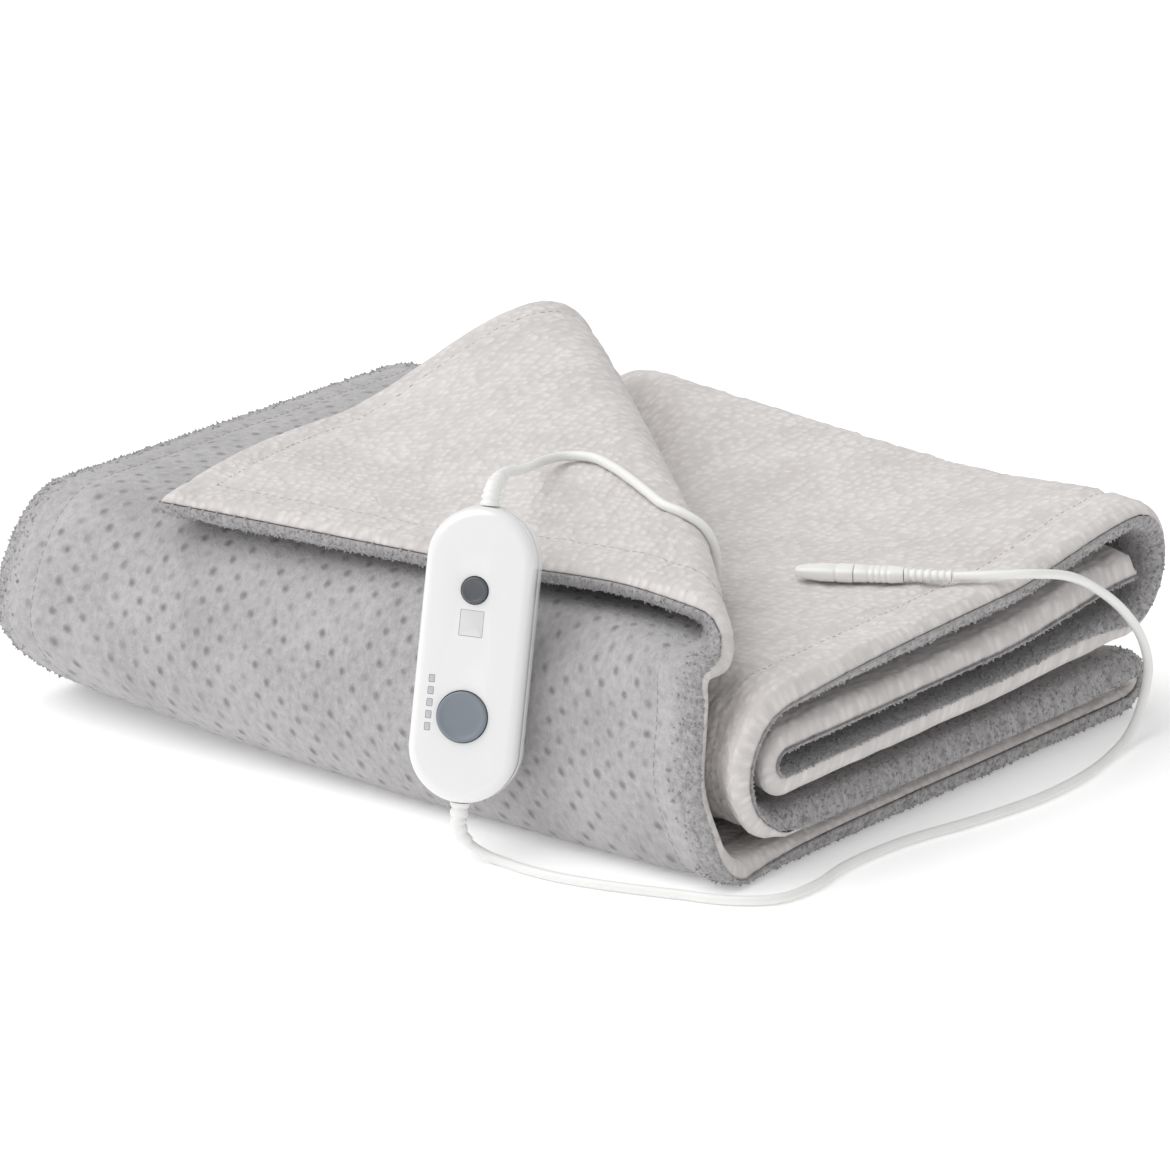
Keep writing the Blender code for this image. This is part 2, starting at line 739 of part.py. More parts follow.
# The stored coil and the mains plug.
COIL_CENTRE = Vector((361.5, 298.5, 0.0))
COIL_TURN_RADIUS = 26.0
COIL_HALF_WIDTH = 9.4
COIL_HALF_HEIGHT = 4.7
PLUG_PLACE = Vector((375.0, 244.0, 6.8))
PLUG_RELIEF_LENGTH = 22.0
PLUG_LENGTH = 36.0
PLUG_HALF_HEIGHT = 6.6
PIN_LENGTH = 19.0
PIN_RADIUS = 2.0
PIN_SPACING = 18.6


def resample(route, spacing):
    """Even points along a smooth curve through a route's own points."""
    points = [Vector(p) for p in route]
    ends = [2 * points[0] - points[1]] + points + [2 * points[-1] - points[-2]]
    dense = []
    for a, b, c, d in zip(ends, ends[1:], ends[2:], ends[3:]):
        for i in range(12):
            t = i / 12
            bend = (2 * a - 5 * b + 4 * c - d) * t * t + (3 * b - a - 3 * c + d) * t * t * t
            dense.append(0.5 * (2 * b + (c - a) * t + bend))
    dense.append(points[-1])
    total = sum((b - a).length for a, b in zip(dense, dense[1:]))
    count = max(2, round(total / spacing))
    made = [dense[0]]
    walked, target = 0.0, total / count
    for a, b in zip(dense, dense[1:]):
        length = (b - a).length
        while len(made) < count and walked + length >= target * len(made):
            made.append(a.lerp(b, (target * len(made) - walked) / length))
        walked += length
    made.append(dense[-1])
    return made


def lead(name, route, finish, spacing=9.6):
    """A lead as a round tube along its route, with flat ends."""
    curve = bpy.data.curves.new(name, "CURVE")
    curve.dimensions = "3D"
    curve.bevel_depth = LEAD_RADIUS * MM
    curve.bevel_resolution = 2
    curve.use_fill_caps = True
    points = resample(route, spacing)
    spline = curve.splines.new("POLY")
    spline.points.add(len(points) - 1)
    for point, place in zip(spline.points, points):
        point.co = (*(place * MM), 1.0)
    made = bpy.data.objects.new(name, curve)
    curve.materials.append(finish)
    bpy.context.scene.collection.objects.link(made)
    return made


def oval_mesh(name, rows, segments=16):
    """A solid along Z from rows of height, half width and half thickness, with soft-cornered rings."""
    made = bmesh.new()
    rings = []
    for height, wide, thick in rows:
        ring = []
        for i in range(segments):
            angle = 2 * math.pi * (i + 0.5) / segments
            x, y = math.cos(angle), math.sin(angle)
            x, y = (math.copysign(abs(value) ** 0.6, value) for value in (x, y))
            ring.append(made.verts.new((wide * x * MM, thick * y * MM, height * MM)))
        rings.append(ring)
    for lower, upper in zip(rings, rings[1:]):
        for i in range(segments):
            j = (i + 1) % segments
            made.faces.new((lower[i], lower[j], upper[j], upper[i]))
    made.faces.new(list(reversed(rings[0])))
    made.faces.new(rings[-1])
    mesh = bpy.data.meshes.new(name)
    made.to_mesh(mesh)
    made.free()
    mesh.shade_smooth()
    mesh.set_sharp_from_angle(angle=math.radians(40))
    return mesh


def line_frame(start, direction):
    """A frame at start whose Z runs along direction and whose Y points as nearly up as it can."""
    along = direction.normalized()
    across = Vector((0.0, 0.0, 1.0)).cross(along).normalized()
    up = along.cross(across)
    axes = Matrix((across, up, along)).transposed().to_4x4()
    return Matrix.Translation(start * MM) @ axes


def make_connector(white):
    """The relief and plug on the blanket lead, and the housing on the cloth that they push into."""
    frame = line_frame(CONNECTOR_START, CONNECTOR_END - CONNECTOR_START)
    relief = ((0.0, 2.9, 2.9), (LEAD_RELIEF_LENGTH, 3.7, 3.1))
    plug = ((0.0, 4.2, 3.1), (1.6, 5.1, 3.3), (CONNECTOR_PLUG_LENGTH, 5.6, 3.4))
    last = SOCKET_LENGTH
    socket = ((0.0, 5.8, 3.4), (last - 12.0, 5.5, 3.3), (last - 3.0, 3.9, 2.7), (last, 2.8, 2.1))
    at = 0.0
    for name, rows in (("lead_relief", relief), ("connector_plug", plug), ("blanket_socket", socket)):
        place = frame @ Matrix.Translation((0.0, 0.0, at * MM))
        add_object(name, oval_mesh(name, rows), white, place)
        at += rows[-1][0] + JOINT_GAP


def make_coil(white):
    """The stored turns of the mains lead, as the ring that they fill."""
    wide, high, turn = COIL_HALF_WIDTH, COIL_HALF_HEIGHT, COIL_TURN_RADIUS
    section = ((-1.0, -0.55), (-0.55, -1.0), (0.55, -1.0), (1.0, -0.55))
    section += ((1.0, 0.55), (0.55, 1.0), (-0.55, 1.0), (-1.0, 0.55))
    made = bmesh.new()
    segments = 28
    rings = []
    for i in range(segments):
        angle = 2 * math.pi * i / segments
        ring = []
        for out, up in section:
            reach = turn + out * wide
            place = (reach * math.cos(angle), reach * math.sin(angle), high + up * high)
            ring.append(made.verts.new([value * MM for value in place]))
        rings.append(ring)
    for i in range(segments):
        near, far = rings[i], rings[(i + 1) % segments]
        for j in range(len(section)):
            k = (j + 1) % len(section)
            made.faces.new((near[j], far[j], far[k], near[k]))
    bmesh.ops.recalc_face_normals(made, faces=made.faces[:])
    mesh = bpy.data.meshes.new("mains_coil")
    made.to_mesh(mesh)
    made.free()
    add_object("mains_coil", mesh, white, Matrix.Translation(COIL_CENTRE * MM))


def make_plug(white, brass):
    """A plain two-pin plug lying flat, with its relief towards the coil."""
    frame = line_frame(PLUG_PLACE, Vector((0.0, -1.0, 0.0)))
    thick = PLUG_HALF_HEIGHT
    relief = ((0.0, 3.0, 3.0), (PLUG_RELIEF_LENGTH, 4.8, 4.4))
    add_object("plug_relief", oval_mesh("plug_relief", relief), white, frame)
    body = ((0.0, 6.0, 5.0), (3.0, 8.5, thick), (16.0, 11.0, thick), (PLUG_LENGTH, 13.0, thick))
    body_place = frame @ Matrix.Translation((0.0, 0.0, (PLUG_RELIEF_LENGTH + JOINT_GAP) * MM))
    add_object("mains_plug", oval_mesh("mains_plug", body, 20), white, body_place)
    for number, side in ((1, -1.0), (2, 1.0)):
        rows = ((0.0, PIN_RADIUS), (PIN_LENGTH - 1.2, PIN_RADIUS), (PIN_LENGTH, PIN_RADIUS - 1.0))
        shift = (side * PIN_SPACING / 2 * MM, 0.0, (PLUG_LENGTH + JOINT_GAP) * MM)
        pin = turned_mesh(f"plug_pin_{number}", rows, 12)
        add_object(f"plug_pin_{number}", pin, brass, body_place @ Matrix.Translation(shift))


def centre_on_origin():
    """Hangs every object on an empty that sets the middle of the outline at the origin."""
    middle = bpy.data.objects.new("middle", None)
    bpy.context.scene.collection.objects.link(middle)
    for made in list(bpy.data.objects):
        if made is not middle:
            made.parent = middle
    middle.location = -MIDDLE * MM


def main():
    for old in list(bpy.data.objects):
        bpy.data.objects.remove(old)
    grey = material("grey_flannel", (0.46, 0.44, 0.45), 0.95)
    light = material("light_sherpa", (0.70, 0.66, 0.64), 0.97)
    white = material("white_gloss_plastic", (0.86, 0.86, 0.85), 0.22)
    dark = material("dark_grey_plastic", (0.05, 0.055, 0.06), 0.35)
    slate = material("slate_plastic", (0.07, 0.085, 0.10), 0.4)
    lamp_white = material("lamp_window_plastic", (0.55, 0.56, 0.58), 0.2)
    smoke = material("display_plastic", (0.70, 0.70, 0.71), 0.15)
    brass = material("nickel_plated_brass", (0.66, 0.64, 0.60), 0.25, 1.0)
    cloth("outer_flannel", True, grey)
    cloth("sherpa_lining", False, light)
    make_handset(white, dark, slate, lamp_white, smoke)
    make_connector(white)
    make_coil(white)
    make_plug(white, brass)
    lead("blanket_lead", BLANKET_LEAD_ROUTE, white)
    lead("mains_lead", MAINS_LEAD_ROUTE, white)
    lead("mains_tail", MAINS_TAIL_ROUTE, white)
    centre_on_origin()


main()
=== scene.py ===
"""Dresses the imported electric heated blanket: its two cloths, hems, handset, leads, plug and a plain studio.

Lengths are in millimetres, in the axes of the part's own source, until to_frame() turns them to the frame's.
"""

import math
import random
from collections import namedtuple

import bmesh
import bpy
from mathutils import Matrix, Vector, noise


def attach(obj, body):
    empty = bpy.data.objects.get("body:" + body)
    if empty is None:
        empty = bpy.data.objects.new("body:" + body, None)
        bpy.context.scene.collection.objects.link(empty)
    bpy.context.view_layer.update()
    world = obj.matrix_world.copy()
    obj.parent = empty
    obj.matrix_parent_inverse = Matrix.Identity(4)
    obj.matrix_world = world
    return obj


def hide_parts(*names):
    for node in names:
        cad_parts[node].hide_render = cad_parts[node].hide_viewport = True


bl_info = {
    "name": "Electric heated blanket",
    "version": (1, 0, 0),
    "blender": (4, 5, 0),
    "location": "3D View > Sidebar > Heated Blanket",
    "description": "Builds a folded heated blanket with its handset and leads on the packed model",
    "category": "Add Mesh",
}

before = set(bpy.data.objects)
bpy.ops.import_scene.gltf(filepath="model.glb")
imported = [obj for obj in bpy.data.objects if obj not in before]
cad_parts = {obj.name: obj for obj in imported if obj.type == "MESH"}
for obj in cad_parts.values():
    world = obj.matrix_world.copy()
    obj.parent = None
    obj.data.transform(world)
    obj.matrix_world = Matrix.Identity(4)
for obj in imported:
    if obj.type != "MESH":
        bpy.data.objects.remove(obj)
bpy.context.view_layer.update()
MM = 0.001
BLANKET = "blanket_and_handset"

# The middle of the outline, which the part's source sets at the origin.
MIDDLE = Vector((132.45, 189.0, 0.0))


def linear(code):
    """An sRGB hex colour as linear red, green and blue."""
    parts = [int(code[i : i + 2], 16) / 255 for i in (0, 2, 4)]
    return tuple(p / 12.92 if p <= 0.04045 else ((p + 0.055) / 1.055) ** 2.4 for p in parts)


def to_frame(point):
    return (Vector(point) - MIDDLE) * MM


def mix(low, high, share):
    return low + (high - low) * share


def smooth(value):
    """Runs from 0 to 1 with level ends."""
    value = min(1.0, max(0.0, value))
    return value * value * (3.0 - 2.0 * value)


def ease(value, start, length):
    """Runs from 0 at start to 1 a length further on, with level ends."""
    return smooth((value - start) / length)


# ---------------------------------------------------------------- sizes and colours a user would change


def colour(name, description, code):
    return bpy.props.FloatVectorProperty(
        name=name,
        description=description,
        default=linear(code),
        subtype="COLOR",
        size=3,
        min=0.0,
        max=1.0,
    )


def distance(name, description, millimetres):
    return bpy.props.FloatProperty(
        name=name,
        description=description,
        default=millimetres * MM,
        min=0.0,
        unit="LENGTH",
        precision=5,
    )


class ClothSettings(bpy.types.PropertyGroup):
    """The two cloths and their hems."""

    # Painted light and shade: the pile's two greys follow the bump's tufts and clumps, lighter on their tops
    # and darker between them; the handling patches add real random tone.
    flannel: colour("Flannel", "Grey of the outer cloth's pile, where it stands up", "BBB9B9")
    flannel_low: colour("Flannel, lying", "Grey of the pile where it lies flat", "A5A3A4")
    # Painted shade: this darker grey fills the bottom of each dimple, where shade falls.
    dimple: colour("Dimple", "Darker grey in the bottom of each dimple", "848183")
    hem: colour("Hem pile", "Darker grey of the pile on the hems", "B2B0B1")
    # Painted shade: on the cloth's hem this deep grey marks where its tufts and clumps sink, with the hem grey
    # on their tops; on the loose tufts it is only one end of their random tone.
    hem_low: colour("Hem pile, deep", "Grey between the tufts of the hems", "929091")
    sherpa: colour("Sherpa", "Off-white of the lining's curls", "E0DCDA")
    # Painted shade between the lining's curls; the curls' tops take the lighter sherpa colour as painted
    # light.
    sherpa_shade: colour("Sherpa shade", "Colour between the lining's curls", "C8C3C1")
    thread: colour("Thread", "Sewing thread on the grey side of the hems", "A6A2A4")
    thread_light: colour("Light thread", "Sewing thread on the lining's side of the hems", "C3BDBB")
    dimple_pitch: distance("Dimple pitch", "From one dimple to the next along a row", 14.0)
    dimple_row: distance("Dimple rows", "From one row of dimples to the next", 7.0)
    curl: distance("Curl size", "Width of one curl of the lining", 4.4)
    stitch_length: distance("Stitch length", "Length of one stitch", 3.2)


class HandsetSettings(bpy.types.PropertyGroup):
    """The handset's mouldings."""

    housing: colour("Housing", "White of the gloss housing", "EAEAEA")
    small_button: colour("Small button", "Dark grey of the small button", "55585C")
    large_button: colour("Large button", "Blue grey of the large button", "7C838B")
    lamp: colour("Lamp windows", "Unlit lamp windows", "C2C4C8")
    display: colour("Display window", "Unlit display window", "DCDCDD")
    rim: distance("Rim radius", "Rounding of the face's rim", 5.2)


class LeadSettings(bpy.types.PropertyGroup):
    """The two leads and what is on them."""

    pvc: colour("PVC", "White of the leads, reliefs and plugs", "EEEEEC")
    pin: colour("Pins", "Nickel plating of the plug's pins", "D2CFC8")
    sleeve: colour("Pin sleeves", "Insulating sleeves of the plug's pins", "2B2C2E")
    diameter: distance("Lead diameter", "Outside diameter of both leads", 4.6)


class StudioSettings(bpy.types.PropertyGroup):
    """The floor, lights and camera."""

    floor: colour("Floor", "Pale floor", "FCFCFC")
    lens: bpy.props.FloatProperty(
        name="Lens",
        description="Focal length; the photograph was taken from far off",
        default=1000.0,
        min=50.0,
        unit="CAMERA",
    )
    sky: bpy.props.FloatProperty(
        name="Room light",
        description="Strength of the even light from all round",
        default=0.6,
        min=0.0,
    )
    key: bpy.props.FloatProperty(
        name="Key light",
        description="Strength of the soft light from the upper left",
        default=1.75,
        min=0.0,
    )


# ---------------------------------------------------------------- materials


# What Map Range and Noise nodes are fed, in the order of the rows below.
RANGE = ("Value", "From Min", "From Max", "To Min", "To Max")
GRAIN = ("Vector", "Scale", "Detail", "Roughness")
# The finish of brushed pile: matt, with the soft light of fibre ends.
PILE_FINISH = {"Roughness": 0.95, "Specular IOR Level": 0.1, "Sheen Weight": 0.3, "Sheen Roughness": 0.6}


def feed(tree, node, inputs):
    """Feeds each of a node's inputs from a socket, or sets it to a value."""
    for name, value in inputs.items():
        if isinstance(value, bpy.types.NodeSocket):
            tree.links.new(value, node.inputs[name])
        else:
            node.inputs[name].default_value = value


def add(tree, kind, inputs=None, output=0, **settings):
    """Adds one node with its own settings, feeds its inputs, and gives one of its outputs."""
    node = tree.nodes.new(kind)
    for name, value in settings.items():
        setattr(node, name, value)
    feed(tree, node, inputs or {})
    return node.outputs[output]


def new_material(name):
    """A material with nothing but its shader and output; gives the material, its tree and the shader."""
    made = bpy.data.materials.get(name)
    if made is not None:
        bpy.data.materials.remove(made)
    made = bpy.data.materials.new(name)
    made.use_nodes = True
    return made, made.node_tree, made.node_tree.nodes["Principled BSDF"]


def opaque(tint, share=1.0):
    """A colour's three parts, darkened to a share, and full cover as the fourth."""
    return (*(share * part for part in tint), 1.0)


def weigh(tree, *parts):
    """The sum of sockets, each times its weight."""
    total = 0.0
    for socket, weight in parts:
        total = add(tree, "ShaderNodeMath", {0: socket, 1: weight, 2: total}, operation="MULTIPLY_ADD")
    return total


def wandered(tree, uv, scale, reach):
    """The cloth's coordinates, shifted this way and that by up to half of reach, in metres."""
    wander = add(tree, "ShaderNodeTexNoise", {"Vector": uv, "Scale": scale, "Detail": 1.0}, "Color")
    spread = {0: wander, 1: (reach, reach, 0.0), 2: (-reach / 2, -reach / 2, 0.0)}
    shift = add(tree, "ShaderNodeVectorMath", spread, operation="MULTIPLY_ADD")
    return add(tree, "ShaderNodeVectorMath", {0: uv, 1: shift}, operation="ADD")


def lattice(tree, place, pitch, offset):
    """How far each point is from the nearest of a rectangular lattice of points, in metres."""
    wide, deep = pitch
    for operation, values in (
        ("MULTIPLY_ADD", {1: (1.0 / wide, 1.0 / deep, 0.0), 2: (offset, offset, 0.0)}),
        ("FRACTION", {}),
        ("MULTIPLY_ADD", {1: (wide, deep, 0.0), 2: (-wide / 2, -deep / 2, 0.0)}),
    ):
        place = add(tree, "ShaderNodeVectorMath", {0: place, **values}, operation=operation)
    return add(tree, "ShaderNodeVectorMath", {0: place}, "Value", operation="LENGTH")


def flannel_material(cloth):
    """Brushed polyester coral fleece, embossed in staggered dimples: matt, soft, and clumped by handling;
    painted shade darkens its dimples and the hollows between its tufts and clumps.
    """
    made, tree, shader = new_material("polyester_coral_fleece_grey")
    uv = add(tree, "ShaderNodeUVMap", uv_map="cloth")
    edge = add(tree, "ShaderNodeAttribute", output="Fac", attribute_name="edge")
    # The pile leans this way and that, so the dimples wander by about a millimetre.
    moved = wandered(tree, uv, 45.0, 0.0028)
    pitch = (2.0 * cloth.dimple_row, cloth.dimple_pitch)
    rows = {0: lattice(tree, moved, pitch, 0.0), 1: lattice(tree, moved, pitch, 0.5)}
    nearest = add(tree, "ShaderNodeMath", rows, operation="MINIMUM")
    # Tufts of pile about 2 mm wide and clumps about 4 mm wide, a little coarser than real so that they show;
    # then how the dimples' depth changes from place to place, and the patches that handling leaves.
    pile, clump, change, patch = [
        add(tree, "ShaderNodeTexNoise", dict(zip(GRAIN, (uv, 1.0 / (width * MM), detail, rough))), "Fac")
        for width, detail, rough in ((1.1, 3.0, 0.6), (3.4, 2.0, 0.5), (16.0, 2.0, 0.5), (40.0, 2.0, 0.5))
    ]
    # Distances from the cloth's edge are in millimetres, and those from a dimple's middle in metres.
    body, past_hem, uneven, pit = [
        add(tree, "ShaderNodeMapRange", dict(zip(RANGE, row)), interpolation_type="SMOOTHSTEP")
        for row in (
            (edge, 15.0, 27.0, 0.0, 1.0),
            (edge, 5.0, 17.0, 0.0, 1.0),
            (change, 0.35, 0.6, 0.35, 1.0),
            (nearest, 0.2 * MM, 2.9 * MM, 1.0, 0.0),
        )
    ]
    # Each dimple's depth: it sinks the bump and also paints shade into the dimple's bottom.
    depth = pit
    for share in (uneven, body):
        depth = add(tree, "ShaderNodeMath", {0: depth, 1: share}, operation="MULTIPLY")
    # The body's grey: painted light on the tufts' and clumps' tops and painted shade between them, plus the
    # real patches that handling leaves.
    tone = weigh(tree, (pile, 0.5), (clump, 1.0), (patch, 0.9))
    # The hem's grey: painted shade between its tufts and clumps, lighter on their tops.
    hem_tone = weigh(tree, (pile, 1.0), (clump, 1.0))
    body_share, hem_share = [
        add(tree, "ShaderNodeMapRange", dict(zip(RANGE, row)))
        for row in ((tone, 0.95, 1.45, 0.0, 1.0), (hem_tone, 0.8, 1.2, 0.0, 1.0))
    ]
    # The cloth's own colour and the hem's, then the one past the other, then the painted shade of the dimples
    # over both.
    pale, deep = [
        add(tree, "ShaderNodeMix", {0: share, 6: opaque(low), 7: opaque(high)}, 2, data_type="RGBA")
        for share, low, high in (
            (body_share, cloth.flannel_low, cloth.flannel),
            (hem_share, cloth.hem_low, cloth.hem),
        )
    ]
    hemmed = add(tree, "ShaderNodeMix", {0: past_hem, 6: deep, 7: pale}, 2, data_type="RGBA")
    base = add(tree, "ShaderNodeMix", {0: depth, 6: hemmed, 7: opaque(cloth.dimple)}, 2, data_type="RGBA")
    # Heights in millimetres: what the pile stands proud by, less each dimple.
    height = weigh(tree, (depth, -1.0), (clump, 1.1), (pile, 0.7))
    bump = add(tree, "ShaderNodeBump", {"Height": height, "Strength": 0.85, "Distance": 1.0 * MM})
    feed(tree, shader, {"Base Color": base, "Normal": bump, **PILE_FINISH})
    return made


def tuft_material(cloth):
    """Pile of the hems, brushed up by the sewing: matt grey tufts, each of its own tone."""
    made, tree, shader = new_material("polyester_coral_fleece_tufts")
    tone = add(tree, "ShaderNodeAttribute", output="Fac", attribute_name="tone")
    place = add(tree, "ShaderNodeTexCoord", output="Object")
    fibre = add(tree, "ShaderNodeTexNoise", {"Vector": place, "Scale": 1400.0, "Detail": 2.0}, "Fac")
    share = weigh(tree, (tone, 0.85), (fibre, 0.25))
    tints = {0: share, 6: opaque(cloth.hem_low), 7: opaque(cloth.flannel_low)}
    base = add(tree, "ShaderNodeMix", tints, 2, data_type="RGBA")
    bump = add(tree, "ShaderNodeBump", {"Height": fibre, "Strength": 0.6, "Distance": 0.3 * MM})
    feed(tree, shader, {"Base Color": base, "Normal": bump, **PILE_FINISH})
    return made


def sherpa_material(cloth):
    """Polyester sherpa: small matt curls in rough rows, with painted light on their tops and painted shade
    between them.
    """
    made, tree, shader = new_material("polyester_sherpa_off_white")
    uv = add(tree, "ShaderNodeUVMap", uv_map="cloth")
    moved = wandered(tree, uv, 70.0, 0.003)
    cells = {"Vector": moved, "Scale": 1.0 / cloth.curl, "Smoothness": 0.6, "Randomness": 0.6}
    curls = add(tree, "ShaderNodeTexVoronoi", cells, "Distance", feature="SMOOTH_F1")
    domed = dict(zip(RANGE, (curls, 0.1, 0.75, 1.0, 0.0)))
    top = add(tree, "ShaderNodeMapRange", domed, interpolation_type="SMOOTHSTEP")
    fine, patch = [
        add(tree, "ShaderNodeTexNoise", dict(zip(GRAIN, (uv, 1.0 / (width * MM), detail, rough))), "Fac")
        for width, detail, rough in ((1.0, 3.0, 0.6), (30.0, 2.0, 0.5))
    ]
    # The curls' domes paint their tops light and the hollows between them in painted shade; the fine grain and
    # the patches vary at random.
    tone = weigh(tree, (top, 0.6), (fine, 0.5), (patch, 0.8))
    share = add(tree, "ShaderNodeMapRange", dict(zip(RANGE, (tone, 0.55, 1.35, 0.0, 1.0))))
    tints = {0: share, 6: opaque(cloth.sherpa_shade), 7: opaque(cloth.sherpa)}
    base = add(tree, "ShaderNodeMix", tints, 2, data_type="RGBA")
    # Heights in millimetres.
    height = weigh(tree, (top, 1.0), (fine, 0.45))
    bump = add(tree, "ShaderNodeBump", {"Height": height, "Strength": 0.8, "Distance": 1.0 * MM})
    feed(tree, shader, {"Base Color": base, "Normal": bump, "Roughness": 0.97, "Specular IOR Level": 0.1})
    feed(tree, shader, {"Sheen Weight": 0.3, "Sheen Roughness": 0.7})
    return made


def moulded_material(name, tint, roughness, grain, depth, coat=0.0, darker=0.82):
    """An injection-moulded plastic: even colour, with the mould's faint skin and a little handling wear."""
    made, tree, shader = new_material(name)
    place = add(tree, "ShaderNodeTexCoord", output="Object")
    skin, wear = [
        add(tree, "ShaderNodeTexNoise", {"Vector": place, "Scale": scale, "Detail": detail}, "Fac")
        for scale, detail in ((1.0 / (grain * MM), 2.0), (60.0, 4.0))
    ]
    gloss, share = [
        add(tree, "ShaderNodeMapRange", dict(zip(RANGE, row)))
        for row in ((wear, 0.3, 0.7, roughness * 0.8, roughness * 1.3), (wear, 0.35, 0.8, 0.0, 0.18))
    ]
    tints = {0: share, 6: opaque(tint), 7: opaque(tint, darker)}
    base = add(tree, "ShaderNodeMix", tints, 2, data_type="RGBA")
    bump = add(tree, "ShaderNodeBump", {"Height": skin, "Strength": 0.5, "Distance": depth * MM})
    feed(tree, shader, {"Base Color": base, "Roughness": gloss, "Normal": bump})
    feed(tree, shader, {"IOR": 1.53, "Coat Weight": coat})
    return made


def plated_material(name, tint):
    """Drawn and plated metal, nickel on brass or zinc on steel: bright, with fine marks along it."""
    made, tree, shader = new_material(name)
    place = add(tree, "ShaderNodeTexCoord", output="Object")
    drawn = add(tree, "ShaderNodeMapping", {"Vector": place, "Scale": (900.0, 40.0, 900.0)})
    marks = add(tree, "ShaderNodeTexNoise", {"Vector": drawn, "Scale": 1.0, "Detail": 2.0}, "Fac")
    gloss = add(tree, "ShaderNodeMapRange", {"Value": marks, "To Min": 0.18, "To Max": 0.34})
    tints = {0: marks, 6: opaque(tint), 7: opaque(tint, 0.85)}
    base = add(tree, "ShaderNodeMix", tints, 2, data_type="RGBA")
    feed(tree, shader, {"Base Color": base, "Roughness": gloss, "Metallic": 1.0})
    return made


def thread_material(name, tint):
    """Spun polyester sewing thread: two twisted strands, half matt."""
    made, tree, shader = new_material("polyester_thread_" + name)
    place = add(tree, "ShaderNodeTexCoord", output="Object")
    twist = add(tree, "ShaderNodeTexNoise", {"Vector": place, "Scale": 1800.0, "Detail": 1.0}, "Fac")
    tints = {0: twist, 6: opaque(tint, 0.7), 7: opaque(tint)}
    base = add(tree, "ShaderNodeMix", tints, 2, data_type="RGBA")
    bump = add(tree, "ShaderNodeBump", {"Height": twist, "Strength": 1.0, "Distance": 0.2 * MM})
    feed(tree, shader, {"Base Color": base, "Normal": bump, "Roughness": 0.7})
    return made


def floor_material(tint):
    """Matt white paper sweep, with the faintest mottle, and a faint glow so that it stays pale."""
    made, tree, shader = new_material("matt_white_paper")
    place = add(tree, "ShaderNodeTexCoord", output="Object")
    mottle = add(tree, "ShaderNodeTexNoise", {"Vector": place, "Scale": 12.0}, "Fac")
    tints = {0: mottle, 6: opaque(tint), 7: opaque(tint, 0.99)}
    base = add(tree, "ShaderNodeMix", tints, 2, data_type="RGBA")
    feed(tree, shader, {"Base Color": base, "Roughness": 1.0, "Specular IOR Level": 0.0})
    feed(tree, shader, {"Emission Color": (1.0, 1.0, 1.0, 1.0), "Emission Strength": 0.22})
    return made


# ---------------------------------------------------------------- modelling by hand

# A face looks straight up, and a point lies on a level or a circle, within these.
UPWARD = 0.99
CLOSE = 0.01
RING = 0.05


def start_clean():
    """Leaves nothing selected, in object mode."""
    if bpy.context.object is not None and bpy.context.object.mode != "OBJECT":
        bpy.ops.object.mode_set(mode="OBJECT")
    bpy.ops.object.select_all(action="DESELECT")


def choose(piece):
    """Selects one piece alone, in object mode, and makes it the active one."""
    start_clean()
    piece.select_set(True)
    bpy.context.view_layer.objects.active = piece


def edit(piece):
    choose(piece)
    bpy.ops.object.mode_set(mode="EDIT")


def pick(piece, kind, test):
    """In edit mode, selects only the vertices, edges or faces whose middle passes the test."""
    bpy.ops.mesh.select_mode(type=kind)
    bpy.ops.mesh.select_all(action="DESELECT")
    shape = bmesh.from_edit_mesh(piece.data)
    parts = {"VERT": shape.verts, "EDGE": shape.edges, "FACE": shape.faces}[kind]
    for part in parts:
        if kind == "VERT":
            chosen = test(part.co / MM)
        elif kind == "EDGE":
            chosen = all(test(v.co / MM) for v in part.verts)
        else:
            chosen = test(part.calc_center_median() / MM, part.normal)
        if chosen:
            part.select_set(True)
    shape.select_flush_mode()
    bmesh.update_edit_mesh(piece.data)


def end_edit():
    bpy.ops.object.mode_set(mode="OBJECT")


def slide_by(x, y, z):
    bpy.ops.transform.translate(value=(x * MM, y * MM, z * MM))


def raise_rows(piece, rows):
    """Extrudes a piece's top face up through rows of step, width share and thickness share."""
    edit(piece)
    pick(piece, "FACE", lambda centre, normal: normal.z > UPWARD)
    for step, wide, thick in rows:
        bpy.ops.mesh.extrude_region_move(TRANSFORM_OT_translate={"value": (0.0, 0.0, step * MM)})
        bpy.ops.transform.resize(value=(wide, thick, 1.0))
    end_edit()


def apply_modifier(piece, kind, **settings):
    """Adds one modifier to a piece with its settings, and applies it."""
    choose(piece)
    modifier = piece.modifiers.new(kind.lower(), kind)
    for name, value in settings.items():
        setattr(modifier, name, value)
    bpy.ops.object.modifier_apply(modifier=modifier.name)


def soften(piece, width, segments=2):
    """Rounds a piece's sharp edges."""
    sharp = math.radians(35.0)
    apply_modifier(
        piece,
        "BEVEL",
        width=width * MM,
        segments=segments,
        limit_method="ANGLE",
        angle_limit=sharp,
        harden_normals=False,
    )


def cut_out(piece, cutter):
    """Cuts one piece out of another and removes the cutter."""
    apply_modifier(piece, "BOOLEAN", operation="DIFFERENCE", solver="EXACT", object=cutter)
    bpy.data.objects.remove(cutter)


def own_place(piece):
    """Puts a primitive's own place into its mesh, so that its object sits at the origin."""
    choose(piece)
    bpy.ops.object.transform_apply(location=True, rotation=True, scale=True)


